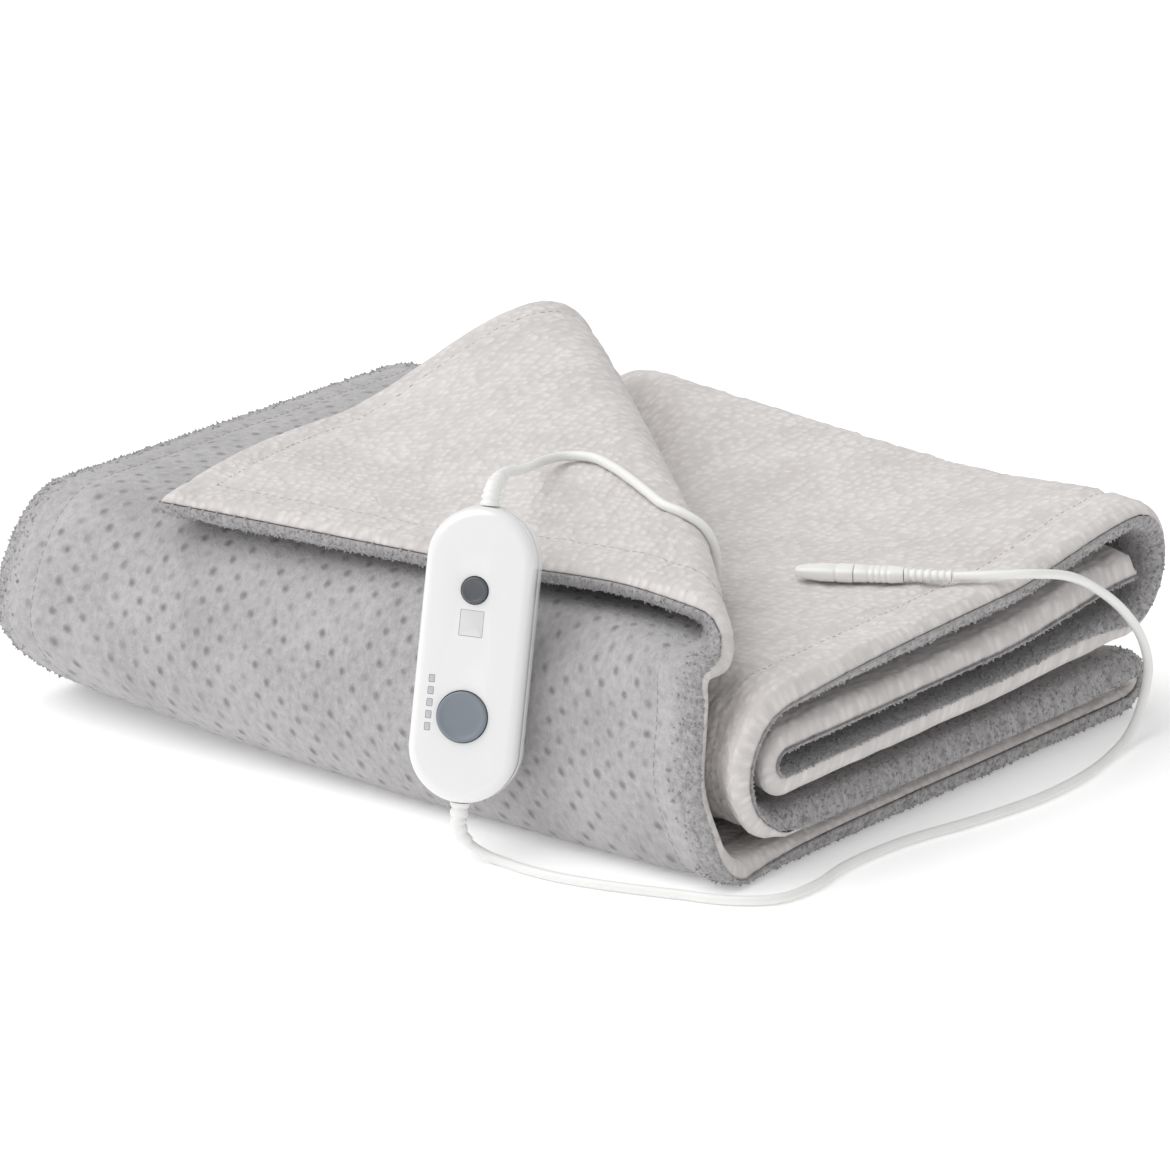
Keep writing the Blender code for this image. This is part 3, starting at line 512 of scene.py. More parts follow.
def cylinder(sides, radius, low, high, across=0.0, along=0.0):
    """A cylinder from low to high along Z, at a place across and along."""
    start_clean()
    bpy.ops.mesh.primitive_cylinder_add(
        vertices=sides,
        radius=radius * MM,
        depth=(high - low) * MM,
        location=(across * MM, along * MM, (high + low) / 2 * MM),
    )
    return bpy.context.object


def rounded_block(size, low, high, corner, segments=6, across=0.0, along=0.0):
    """A block from low to high along Z, at a place across and along, with its upright edges rounded."""
    start_clean()
    bpy.ops.mesh.primitive_cube_add(size=1.0, location=(across * MM, along * MM, (high + low) / 2 * MM))
    piece = bpy.context.object
    piece.scale = (size[0] * MM, size[1] * MM, (high - low) * MM)
    own_place(piece)
    edit(piece)
    bpy.ops.mesh.select_mode(type="EDGE")
    bpy.ops.mesh.select_all(action="DESELECT")
    shape = bmesh.from_edit_mesh(piece.data)
    for side in shape.edges:
        side.select_set(abs(side.verts[0].co.z - side.verts[1].co.z) > 0.5 * MM)
    bmesh.update_edit_mesh(piece.data)
    bpy.ops.mesh.bevel(offset=corner * MM, segments=segments, affect="EDGES")
    end_edit()
    return piece


def finish_piece(piece, name, finish, place, nodes=(), body=BLANKET, angle=32.0):
    """Names a piece, sets it in place in its mesh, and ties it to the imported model."""
    piece.name = name
    piece.data.name = name
    piece.data.transform(place)
    piece.data.materials.clear()
    piece.data.materials.append(finish)
    choose(piece)
    bpy.ops.object.shade_smooth_by_angle(angle=math.radians(angle))
    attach(piece, body)
    if nodes:
        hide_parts(*nodes)


# ---------------------------------------------------------------- the folded strip

CLOTH_HALF = 6.4
SEAM_OFFSET = 1.4
SEAM_HALF_GAP = 0.15
STRIP_WIDTH = 400.0

# The layers, from the top down: height of the middle, shift of the near hem along Y, swell of the hem on the
# grey side and on the lining's, and where the rim's two cloths meet, towards the grey side where positive.
TOP = {"z": 104.5, "shift": 0.0, "hem": 1.08, "lining": 1.08, "rim": -1.6}
FIRST = {"z": 88.5, "shift": -22.0, "hem": 1.15, "lining": 1.15, "rim": -1.6}
SECOND = {"z": 65.5, "shift": -19.0, "hem": 1.5, "lining": 2.1, "rim": 3.6}
THIRD = {"z": 44.5, "shift": -20.0, "hem": 1.2, "lining": 2.2, "rim": 5.0}
FOURTH = {"z": 23.5, "shift": -17.0, "hem": 1.0, "lining": 1.15, "rim": -5.0}
FLOOR = {"z": 6.4, "shift": -12.0, "hem": 1.0, "lining": 1.45, "rim": -3.0}
RIM_FRONT = 3.2
RIM_MIDDLE = 3.6
RIM_INNER = 3.0
# How far in from the edge the rim's own shape reaches, how blunt it is, and over what length it changes from
# the front fold's to the top layer's.
RIM_REACH = 10.0
RIM_BLUNT = 0.03
RIM_CHANGE = 40.0

NOSE_X_NEAR = 2.0
NOSE_X_FAR = -8.0
NOSE_TOP_RADIUS_NEAR = 11.0
NOSE_TOP_RADIUS_FAR = 34.0
NOSE_FOOT_RADIUS = ((0.0, 14.0), (100.0, 13.0), (200.0, 15.0), (300.0, 27.0), (400.0, 50.0))
# The foot of the front fold kicks out towards the near side, and the middle fold is plump beside it.
FOOT_SHIFT = -13.0
FOOT_HEIGHT = 50.0
NOSE_PLUMP = 0.5
MIDDLE_PLUMP = 1.1
MIDDLE_CREASE = 36.0
OUTER_PLUMP = 1.1
NOSE_BULGE_NEAR = 4.0
NOSE_BULGE_FAR = 12.0
# How the front fold's bulge is spread over its height, where its lining's swell comes in, how soon that fades
# along the floor, and how round the middle fold's swell is.
NOSE_SWELL_POWER = 0.7
PLUMP_TOP = 8.0
PLUMP_RANGE = 12.0
PLUMP_FADE = 12.0
MIDDLE_ROUNDNESS = 0.6
FULL_RADIUS_Y = 130.0
MIDDLE_FOLD_X = 17.0
MIDDLE_FOLD_DEPTH = 30.0
INNER_FOLD_X = 36.0
BACK_FOLD_X = 306.0
OUTER_BACK_X = 313.0
SECOND_END_X = 297.0
SECOND_TAIL = 20.0
# The last rows of the folds, which lie near enough to the second layer's free edge to take its hem.
FREE_ROWS = 30
FAR_OFF = 999.0
FLARE = 11.5
FLARE_START = 4.0
FLARE_REACH = 26.0
FLARE_END_X = 90.0
FLARE_FADE = 60.0

FOLD_START = Vector((14.0, 0.0))
FOLD_END = Vector((271.0, 335.0))
ROLL_RADIUS_NEAR = 8.5
ROLL_RADIUS_FAR = 26.0
ROLL_PAST_END = 1.2
FLAP_TIP = Vector((-9.0, 316.0))
TOP_END_NEAR_X = 345.0
TOP_END_BOW = 28.0
TOP_END_BOW_SHARE = 0.8
FLAP_CLEARANCE = 2.6
FLAP_SETTLE = 110.0

# The roll's near end leans forward over the front fold.
LEAN = 10.0
LEAN_START = 90.0
LEAN_RANGE = 24.0
LEAN_REACH = 80.0
LINE = (FOLD_END - FOLD_START).normalized()
ACROSS = Vector((LINE.y, -LINE.x))

RISE_BACK = 0.05
FALL_FAR = 0.045
FALL_FAR_BACK = 0.205
STACK_DEPTH = 320.0

# A hem: how far its stitches lie from the edge, how deep they pinch, and how far the grey cloth laps its rim.
SIDE_CREASE = 24.0
END_CREASE = 17.0
HEM_DIP = 0.8
HEM_LAP = 1.4
LAP_REACH = 7.0
PINCH_IN = 10.0
PINCH_OUT = 9.0

# Waves of the pile's surface, in millimetres, and how high each stands on the grey side and on the lining.
WAVES = (62.0, 9.0, 4.2)
FLANNEL_WAVES = (0.5, 0.35)
SHERPA_WAVES = (0.6, 0.6, 0.7)

# The stack's back fold puffs up, by Y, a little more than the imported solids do.
PUFF = (
    (-30.0, 9.0),
    (0.0, 11.0),
    (20.0, 10.0),
    (60.0, 5.5),
    (100.0, 5.0),
    (150.0, 8.0),
    (200.0, 12.0),
    (250.0, 16.0),
    (291.0, 21.0),
    (330.0, 21.0),
)
# Where the puff starts, and the length that it comes in over: behind the roll, towards the back, and upwards.
PUFF_BEHIND = (31.0, 34.0)
PUFF_BACK = (195.0, 95.0)
PUFF_UP = (15.0, 70.0)
# The wrapping layer's far hem stands out a little, then rounds down and in over the layers below. A pair is
# where a change starts and the length that it takes; by the end of FAR_FADE both are lost under the stack.
FAR_START = 364.0
FAR_REACH = 12.0
FAR_DROP = 7.0
FAR_IN = 8.0
FAR_SPREAD = (325.0, 75.0)
FAR_FRONT = (-15.0, 80.0)
FAR_UP = (15.0, 80.0)
FAR_FADE = (20.0, 100.0)

# Columns of the mesh: their distance from a hem, then the widest step between the hems.
HEM_STEPS = (0.0, 0.5, 1.4, 2.8, 4.4, 6.4, 9.0, 12.0, 15.0, 18.0, 20.5, 22.5, 24.0, 25.5, 28.0, 31.0)
COLUMN_STEP = 3.2
TOP_STEP = 3.0
EDGE_LIMIT = 60.0


def arc(centre, radius, start, end, steps):
    """Points on an arc in X and Z, with angles in degrees from +X; its first point is left out."""
    across, up = radius if isinstance(radius, tuple) else (radius, radius)
    angles = [math.radians(mix(start, end, (i + 1) / steps)) for i in range(steps)]
    return [(centre[0] + across * math.cos(a), centre[1] + up * math.sin(a)) for a in angles]


def run(start_x, end_x, z, steps):
    return [(mix(start_x, end_x, (i + 1) / steps), z) for i in range(steps)]


def read_table(table, place):
    """A value from a table of places and values, straight between its rows."""
    for (a, low), (b, high) in zip(table, table[1:]):
        if place <= b:
            return mix(low, high, max(0.0, (place - a) / (b - a)))
    return table[-1][1]


def nose_x(y):
    return mix(NOSE_X_NEAR, NOSE_X_FAR, y / STRIP_WIDTH)


def nose_top_radius(y):
    return mix(NOSE_TOP_RADIUS_NEAR, NOSE_TOP_RADIUS_FAR, smooth(y / FULL_RADIUS_Y))


def flat_start(y):
    return nose_x(y) + nose_top_radius(y)


def top_end(y):
    """X of the top layer's free edge: the turned corner is longer than the rest."""
    share = min(1.0, y / FOLD_END.y)
    bow = TOP_END_BOW * math.sin(math.pi * min(1.0, share / TOP_END_BOW_SHARE))
    return mix(TOP_END_NEAR_X, FOLD_END.x, share) + bow


# A place on the path of the folds: X, Z, the shift along Y, the grey hem's swell, the flare, where the rim's
# two cloths meet, and the lining's swell and how far in it is creased.
Station = namedtuple("Station", "x z shift hem flare rim lining crease")


def stations(y):
    """The path of the folds below the top layer at Y."""
    radius = nose_top_radius(y)
    front = nose_x(y)
    bulge = mix(NOSE_BULGE_NEAR, NOSE_BULGE_FAR, y / STRIP_WIDTH)
    foot = read_table(NOSE_FOOT_RADIUS, y)
    top, floor = TOP["z"], FLOOR["z"]
    nose = [(front + radius, top)]
    nose += arc((front + radius, top - radius), radius, 90, 180, 13)
    nose += [(front, mix(top - radius, floor + foot, (i + 1) / 12)) for i in range(12)]
    nose += arc((front + foot, floor + foot), foot, 180, 270, 13)
    heights = [max(0.0, (z - floor) / (top - floor)) for x, z in nose]
    swell = [math.sin(math.pi * height**NOSE_SWELL_POWER) ** 2 for height in heights]
    nose = [(x - bulge * s, z) for (x, z), s in zip(nose, swell)]

    back_radius = (FOURTH["z"] - floor) / 2
    back = arc((BACK_FOLD_X - back_radius, floor + back_radius), back_radius, -90, 90, 12)
    middle_up = (FIRST["z"] - FOURTH["z"]) / 2
    middle_x = MIDDLE_FOLD_X + MIDDLE_FOLD_DEPTH
    middle = arc((middle_x, FOURTH["z"] + middle_up), (MIDDLE_FOLD_DEPTH, middle_up), 270, 90, 20)
    outer_radius = (FIRST["z"] - THIRD["z"]) / 2
    outer = arc((OUTER_BACK_X - outer_radius, THIRD["z"] + outer_radius), outer_radius, 90, -90, 20)
    inner_radius = (SECOND["z"] - THIRD["z"]) / 2
    inner_x = INNER_FOLD_X + inner_radius
    inner = arc((inner_x, THIRD["z"] + inner_radius), inner_radius, 270, 90, 12)
    second_near = SECOND_END_X - SECOND_TAIL

    # Each part's points, the layers that it runs between, its flare, and its rim and how soon it gets there.
    parts = (
        (nose, TOP, TOP, 0.0, RIM_FRONT, 1.0),
        (run(front + foot, BACK_FOLD_X - back_radius, floor, 24), FLOOR, FLOOR, 0.0, FLOOR["rim"], 22.0),
        (back, FLOOR, FOURTH, 0.0, FLOOR["rim"], 10.0),
        (run(BACK_FOLD_X - back_radius, middle_x, FOURTH["z"], 24), FOURTH, FOURTH, 1.0, FOURTH["rim"], 10.0),
        (middle, FOURTH, FIRST, 1.0, RIM_MIDDLE, 8.0),
        (run(middle_x, OUTER_BACK_X - outer_radius, FIRST["z"], 72), FIRST, FIRST, 1.0, FIRST["rim"], 45.0),
        (outer, FIRST, THIRD, 0.0, FIRST["rim"], 10.0),
        (run(OUTER_BACK_X - outer_radius, inner_x, THIRD["z"], 24), THIRD, THIRD, 1.0, THIRD["rim"], 25.0),
        (inner, THIRD, SECOND, 1.0, RIM_INNER, 8.0),
        (run(inner_x, second_near, SECOND["z"], 20), SECOND, SECOND, 1.0, SECOND["rim"], 20.0),
        (run(second_near, SECOND_END_X, SECOND["z"], 8), SECOND, SECOND, 1.0, SECOND["rim"], 20.0),
    )
    rows = []
    before = TOP
    rim, last = RIM_FRONT, nose[0]
    for points, start, end, flare, wanted, soon in parts:
        for i, (x, z) in enumerate(points):
            share = (i + 1) / len(points)
            step = mix(before["shift"], end["shift"], smooth(share))
            if points is nose:
                step = FOOT_SHIFT * smooth(1.0 - (z - floor) / FOOT_HEIGHT)
            elif start is end:
                step = end["shift"] if start is not FLOOR else mix(FOOT_SHIFT, end["shift"], share)
            hem = mix(start["hem"], end["hem"], share)
            lining = mix(start["lining"], end["lining"], share)
            crease = SIDE_CREASE
            if points is nose:
                lining += NOSE_PLUMP * smooth((top - PLUMP_TOP - z) / PLUMP_RANGE)
            elif before is TOP:
                lining += NOSE_PLUMP * max(0.0, 1.0 - PLUMP_FADE * share)
            elif points is middle:
                round_middle = math.sin(math.pi * share) ** MIDDLE_ROUNDNESS
                lining += MIDDLE_PLUMP * round_middle
                crease = mix(SIDE_CREASE, MIDDLE_CREASE, round_middle)
            elif points is outer:
                hem += OUTER_PLUMP * math.sin(math.pi * share)
            rim += (wanted - rim) * (1.0 - math.exp(-math.hypot(x - last[0], z - last[1]) / soon))
            last = (x, z)
            rows.append(Station(x, z, step, hem, flare, rim, lining, crease))
        before = end
    return rows


def path_step(before, after):
    """How far apart two stations lie, in millimetres."""
    return math.hypot(after.x - before.x, after.z - before.z)


def side_of(rows, i):
    """The grey side's direction at a station, square to the path."""
    before, after = rows[max(0, i - 1)], rows[min(len(rows) - 1, i + 1)]
    dx, dz = after.x - before.x, after.z - before.z
    length = math.hypot(dx, dz)
    return dz / length, -dx / length


def settle(x, y, z, rise=0.0):
    """The last step for every point: heights follow the stack, and nothing goes below the floor."""
    across = min(1.0, max(0.0, x / STACK_DEPTH))
    along = min(1.0, max(0.0, y / STRIP_WIDTH))
    factor = 1.0 + RISE_BACK * across - along * along * (FALL_FAR + FALL_FAR_BACK * across)
    return Vector((x, y, max(0.0, z * factor + rise)))


def puffed(point):
    """A point of the lower folds, lifted where the stack's back fold puffs up behind the roll."""
    across = (point.xy - FOLD_START).dot(ACROSS)
    share = ease(across, *PUFF_BEHIND) * ease(point.x, *PUFF_BACK) * ease(point.z, *PUFF_UP)
    return point + Vector((0.0, 0.0, read_table(PUFF, point.y) * share))


def rounded_end(point, y, share):
    """A point of the wrapping layer, by its place Y across the strip, rounded down and in at the far hem."""
    point = point + Vector((0.0, FAR_REACH * share * ease(y, *FAR_SPREAD), 0.0))
    if y <= FAR_START:
        return point
    bend = share * ((y - FAR_START) / (STRIP_WIDTH - FAR_START)) ** 2
    front = 1.0 - ease(point.x, *FAR_FRONT)
    return point + Vector((FAR_IN * bend * front, 0.0, -FAR_DROP * bend * ease(point.z, *FAR_UP)))


def leaned(point):
    """A point of the top layer or the front fold, moved forward where the roll's near end leans."""
    above = ease(point.z, LEAN_START, LEAN_RANGE)
    return point - Vector((LEAN * above * smooth((LEAN_REACH - point.y) / LEAN_REACH), 0.0, 0.0))


def roll_radius(along):
    share = min(ROLL_PAST_END, max(0.0, along / (FOLD_END - FOLD_START).length))
    return mix(ROLL_RADIUS_NEAR, ROLL_RADIUS_FAR, share)


def turned_corner_stretch():
    """How far the corner moves along and across the fold line so that it lands on the flap's tip."""
    corner = Vector((TOP_END_NEAR_X, 0.0)) - FOLD_START
    tip = FLAP_TIP - FOLD_START
    rolled = math.pi * roll_radius(tip.dot(LINE))
    wanted = -tip.dot(ACROSS) + rolled
    return corner.dot(ACROSS), wanted - corner.dot(ACROSS), tip.dot(LINE) - corner.dot(LINE)


def turned_over(x, y, offset):
    """A point of the top layer past the fold line: round the roll, then back over the top layer."""
    reach, add_across, add_along = turned_corner_stretch()
    here = Vector((x, y)) - FOLD_START
    share = here.dot(ACROSS) / reach
    distance_in = here.dot(ACROSS) + add_across * share
    along = here.dot(LINE) + add_along * share
    radius = roll_radius(along)
    angle = distance_in / radius
    if angle < math.pi:
        out = (radius - offset) * math.sin(angle)
        rise = radius - (radius - offset) * math.cos(angle)
    else:
        beyond = distance_in - math.pi * radius
        resting = 2 * CLOTH_HALF + FLAP_CLEARANCE
        out = -beyond
        rise = mix(2 * radius, resting, smooth(beyond / FLAP_SETTLE)) - offset
    flat = FOLD_START + LINE * along + ACROSS * out
    return leaned(settle(flat.x, flat.y, TOP["z"], rise))


def top_layer(x, y, offset):
    if (Vector((x, y)) - FOLD_START).dot(ACROSS) > 0.0:
        return turned_over(x, y, offset)
    return rounded_end(leaned(settle(x, y, TOP["z"] + offset)), y, 1.0)


def folded(row, side, y, offset):
    """A point of the folds below the top layer: a station's row, pushed out sideways by offset."""
    moved = y + row.shift
    front = smooth((FLARE_END_X - row.x) / FLARE_FADE)
    spread = row.flare * FLARE * smooth((FLARE_START - moved) / FLARE_REACH) * front
    point = settle(row.x + offset * side[0] - spread, moved, row.z + offset * side[1])
    if row.flare == 0.0 and row.x < BACK_FOLD_X / 2:
        return rounded_end(leaned(point), y, 1.0 - ease(row.x, *FAR_FADE))
    return puffed(point)


def hem_fullness(away, swell, crease):
    """Thickness beside a hem, next to the full cloth's: swollen, pinched in at the stitches, then full."""
    if away < crease:
        return mix(swell, HEM_DIP, smooth((away - crease + PINCH_IN) / PINCH_IN))
    return mix(HEM_DIP, 1.0, smooth((away - crease) / PINCH_OUT))


def pile_depth(along, across, outer):
    """How far the pile's surface rises or sinks, by where it is on the cloth."""
    heights = FLANNEL_WAVES if outer else SHERPA_WAVES
    # Each wave, on each side, is read at a level of its own, so that no two are alike.
    levels = (7.0, 12.0) if outer else (23.0, 28.0, 32.0)
    depth = 0.0
    for wave, height, level in zip(WAVES, heights, levels):
        depth += height * noise.noise((along / wave, across / wave, level))
    return depth


def columns():
    count = math.ceil((STRIP_WIDTH - 2 * HEM_STEPS[-1]) / COLUMN_STEP)
    inner = [mix(HEM_STEPS[-1], STRIP_WIDTH - HEM_STEPS[-1], (i + 1) / count) for i in range(count - 1)]
    return list(HEM_STEPS) + inner + [STRIP_WIDTH - step for step in reversed(HEM_STEPS)]


def cloth_offset(outer, share, away, fullness, rim, depth):
    """Offset across the cloth: share 0 is the seam between the two cloths and 1 the pile's tips."""
    near = 1.0 - smooth(away / RIM_REACH)
    centre = rim * near
    round_end = math.sqrt(max(RIM_BLUNT, 1.0 - (1.0 - min(1.0, away / CLOTH_HALF)) ** 2))
    seam = centre + SEAM_OFFSET * (1.0 - near)
    half = CLOTH_HALF * fullness
    if outer:
        return mix(seam + SEAM_HALF_GAP, centre + (half - centre) * round_end + depth, share)
    return mix(seam - SEAM_HALF_GAP, centre - (half + centre) * round_end - depth, share)


def top_place(x, y, outer, share, lift=0.0):
    """A point of the top layer: its place, and its distance from the nearest edge."""
    side, free = min(y, STRIP_WIDTH - y), max(0.0, top_end(y) - x)
    away = min(side, free)
    fullness = min(hem_fullness(side, TOP["hem"], SIDE_CREASE), hem_fullness(free, 1.0, END_CREASE))
    along = x - flat_start(y)
    rim = mix(RIM_FRONT, TOP["rim"], smooth(along / RIM_CHANGE))
    depth = pile_depth(along, y, outer) * min(1.0, away / CLOTH_HALF) + lift
    offset = cloth_offset(outer, share, away, fullness, rim, depth)
    lap = HEM_LAP * (1.0 - smooth(away / LAP_REACH)) if outer else 0.0
    if lap > 0.0:
        y += math.copysign(lap, y - STRIP_WIDTH / 2) if side < LAP_REACH else 0.0
        x += lap if free < LAP_REACH else 0.0
    return top_layer(x, y, offset), away


def fold_place(rows, i, along, y, outer, share, lift=0.0):
    """A point of the folds below the top layer: its place, and its distance from the nearest edge."""
    row = rows[i]
    side, free = min(y, STRIP_WIDTH - y), FAR_OFF
    if i > len(rows) - FREE_ROWS:
        free = max(0.0, SECOND_END_X - row.x)
    away = min(side, free)
    swell, crease = (row.hem, SIDE_CREASE) if outer else (row.lining, row.crease)
    fullness = min(hem_fullness(side, swell, crease), hem_fullness(free, 1.0, END_CREASE))
    depth = pile_depth(along, y, outer) * min(1.0, away / CLOTH_HALF) + lift
    offset = cloth_offset(outer, share, away, fullness, row.rim, depth)
    lap = HEM_LAP * (1.0 - smooth(side / LAP_REACH)) if outer else 0.0
    return folded(row, side_of(rows, i), y + math.copysign(lap, y - STRIP_WIDTH / 2), offset), away


def cloth_piece(name, outer, finish, node):
    """One of the two cloths, pile side and back, closed round its edge."""
    lines = columns()
    top_count = math.ceil((TOP_END_NEAR_X - NOSE_TOP_RADIUS_NEAR) / TOP_STEP)
    sides = []
    for share in (1.0, 0.0):
        grid = []
        for y in lines:
            start, end = flat_start(y), top_end(y)
            free = [end - step for step in HEM_STEPS]
            free += [mix(free[-1], start, (i + 1) / top_count) for i in range(top_count)]
            line = []
            for x in free:
                point, away = top_place(x, y, outer, share)
                line.append((to_frame(point), ((x - start) * MM, y * MM), away))
            rows = stations(y)
            along = 0.0
            for i in range(1, len(rows)):
                along -= path_step(rows[i - 1], rows[i])
                point, away = fold_place(rows, i, along, y, outer, share)
                line.append((to_frame(point), (along * MM, y * MM), away))
            grid.append(line)
        sides.append(grid)
    mesh = grid_mesh(name, sides[0], sides[1])
    mesh.materials.append(finish)
    piece = bpy.data.objects.new(name, mesh)
    bpy.context.scene.collection.objects.link(piece)
    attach(piece, BLANKET)
    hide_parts(node)
    rows = stations(STRIP_WIDTH / 2)
    length = top_end(STRIP_WIDTH / 2) - flat_start(STRIP_WIDTH / 2)
    length += sum(path_step(a, b) for a, b in zip(rows, rows[1:]))
    return piece


def every_second(count):
    """Every second index up to the last, which always stays."""
    kept = list(range(0, count, 2))
    return kept if kept[-1] == count - 1 else kept + [count - 1]


def grid_mesh(name, pile, back):
    """Closes a fine grid of the pile and a coarser one of the cloth's back into one mesh, with its UVs."""
    wide, deep = len(pile[0]), len(pile)
    places = [entry for line in pile for entry in line]
    cols, steps = every_second(deep), every_second(wide)
    back_start = len(places)
    places += [back[i][j] for i in cols for j in steps]
    faces = []
    for i in range(deep - 1):
        for j in range(wide - 1):
            a = i * wide + j
            faces.append((a, a + 1, a + wide + 1, a + wide))
    few = len(steps)
    for i in range(len(cols) - 1):
        for j in range(few - 1):
            a = back_start + i * few + j
            faces.append((a, a + few, a + few + 1, a + 1))
    for i, line, turned in ((0, 0, False), (deep - 1, len(cols) - 1, True)):
        for j in range(few - 1):
            fine = [i * wide + k for k in range(steps[j], steps[j + 1] + 1)]
            coarse = [back_start + line * few + j, back_start + line * few + j + 1]
            faces.append(rim_face(fine, coarse, turned))
    for j, line, turned in ((0, 0, True), (wide - 1, few - 1, False)):
        for i in range(len(cols) - 1):
            fine = [k * wide + j for k in range(cols[i], cols[i + 1] + 1)]
            coarse = [back_start + i * few + line, back_start + (i + 1) * few + line]
            faces.append(rim_face(fine, coarse, turned))
    mesh = bpy.data.meshes.new(name)
    mesh.from_pydata([entry[0] for entry in places], [], faces)
    layer = mesh.uv_layers.new(name="cloth")
    corners = [0] * len(mesh.loops)
    mesh.loops.foreach_get("vertex_index", corners)
    layer.data.foreach_set("uv", [value for corner in corners for value in places[corner][1]])
    mesh["pile_points"] = back_start
    # How far each point lies from the cloth's edge, in millimetres, for the hem's own look.
    edge = mesh.attributes.new("edge", "FLOAT", "POINT")
    edge.data.foreach_set("value", [min(EDGE_LIMIT, entry[2]) for entry in places])
    shape = bmesh.new()
    shape.from_mesh(mesh)
    bmesh.ops.recalc_face_normals(shape, faces=shape.faces[:])
    if shape.calc_volume(signed=True) < 0.0:
        bmesh.ops.reverse_faces(shape, faces=shape.faces[:])
    shape.to_mesh(mesh)
    shape.free()
    mesh.shade_smooth()
    return mesh


# Tufts, in millimetres: how far from the edge they grow, how far apart they stand, their least and greatest
# half width and height, and how deep they are sunk. TUFT_THINNING is the share lost where they end.
TUFT_REACH = 14.0
TUFT_SPACING = 1.9
TUFT_THINNING = 0.75
TUFT_LEAN = 0.8
TUFT_WIDE = (0.8, 1.5)
TUFT_TALL = (0.3, 1.1)
TUFT_SUNK = 0.4
TUFT_SIDES = 4


def hem_tufts(piece):
    """Short tufts of pile that stand off the grey cloth's hems, thinning out away from the edge."""
    chance = random.Random(11)
    edge = [entry.value for entry in piece.data.attributes["edge"].data]
    back = piece.data["pile_points"]
    points = [vertex.co / MM for vertex in piece.data.vertices]
    verts, faces, tones = [], [], []
    for face in piece.data.polygons:
        corners = list(face.vertices)
        away = sum(edge[i] for i in corners) / len(corners)
        if away > TUFT_REACH or min(corners) >= back:
            continue
        wanted = face.area / (MM * MM) / TUFT_SPACING**2 * (1.0 - TUFT_THINNING * smooth(away / TUFT_REACH))
        for _ in range(int(wanted + chance.random())):
            first, last = chance.random(), chance.random()
            low = points[corners[0]].lerp(points[corners[1]], first)
            high = points[corners[-1]].lerp(points[corners[-2]], first)
            spot = low.lerp(high, last)
            lean = Vector([chance.uniform(-TUFT_LEAN, TUFT_LEAN) for axis in range(3)])
            wide, tall = chance.uniform(*TUFT_WIDE), chance.uniform(*TUFT_TALL)
            grow_tuft(verts, faces, spot, face.normal, lean, wide, tall)
            tones += [chance.random()] * (TUFT_SIDES + 1)
    mesh = bpy.data.meshes.new("flannel_hem_tufts")
    mesh.from_pydata([to_frame(point + MIDDLE) for point in verts], [], faces)
    mesh.attributes.new("tone", "FLOAT", "POINT").data.foreach_set("value", tones)
    mesh.shade_smooth()
    return mesh


def grow_tuft(verts, faces, spot, normal, lean, wide, tall):
    """Adds one tuft: a small four-sided spike, its base sunk in the cloth and its tip leaning."""
    across = normal.orthogonal().normalized()
    other = normal.cross(across)
    start = len(verts)
    for i in range(TUFT_SIDES):
        angle = 2 * math.pi * i / TUFT_SIDES + lean.x * 3.0
        verts.append(spot + (across * math.cos(angle) + other * math.sin(angle)) * wide - normal * TUFT_SUNK)
    verts.append(spot + (normal + lean) * tall)
    for corner in verts[start:]:
        corner.z = max(0.0, corner.z)
    for i in range(TUFT_SIDES):
        faces.append((start + i, start + (i + 1) % TUFT_SIDES, start + TUFT_SIDES))
    faces.append(tuple(start + i for i in reversed(range(TUFT_SIDES))))


def rim_face(fine, coarse, turned):
    """One face of the rim, from a run of the pile's points to a single step of the back's."""
    face = [coarse[0], *fine, coarse[1]]
    return tuple(reversed(face)) if turned else tuple(face)


# ---------------------------------------------------------------- the leads

BLANKET_LEAD_ROUTE = (
    (-44.33, 109.26, 24.5),
    (-45.45, 108.97, 19.9),
    (-44.4, 107.3, 13.2),
    (-40.2, 104.0, 7.4),
    (-37.4, 98.0, 3.9),
    (-36.2, 90.0, 2.5),
    (-37.0, 76.0, 2.4),
    (-36.0, 60.0, 2.4),
    (-31.5, 40.0, 2.4),
    (-25.0, 20.0, 2.4),
    (-17.5, 0.0, 2.4),
    (-9.0, -22.0, 2.4),
    (6.0, -38.0, 2.4),
    (28.0, -41.0, 2.4),
    (60.0, -36.0, 2.4),
    (100.0, -37.0, 2.4),
    (145.0, -46.0, 2.4),
    (185.0, -51.0, 2.4),
    (220.0, -49.0, 2.4),
    (250.0, -42.0, 2.6),
    (270.0, -37.0, 6.5),
    (282.0, -34.5, 17.0),
    (287.0, -34.0, 33.0),
    (282.0, -34.0, 49.0),
    (269.0, -33.5, 66.0),
    (250.0, -33.0, 82.0),
    (228.0, -33.0, 95.0),
    (207.0, -29.0, 101.3),
    (193.0, -19.0, 102.4),
    (180.0, -2.8, 101.6),
)
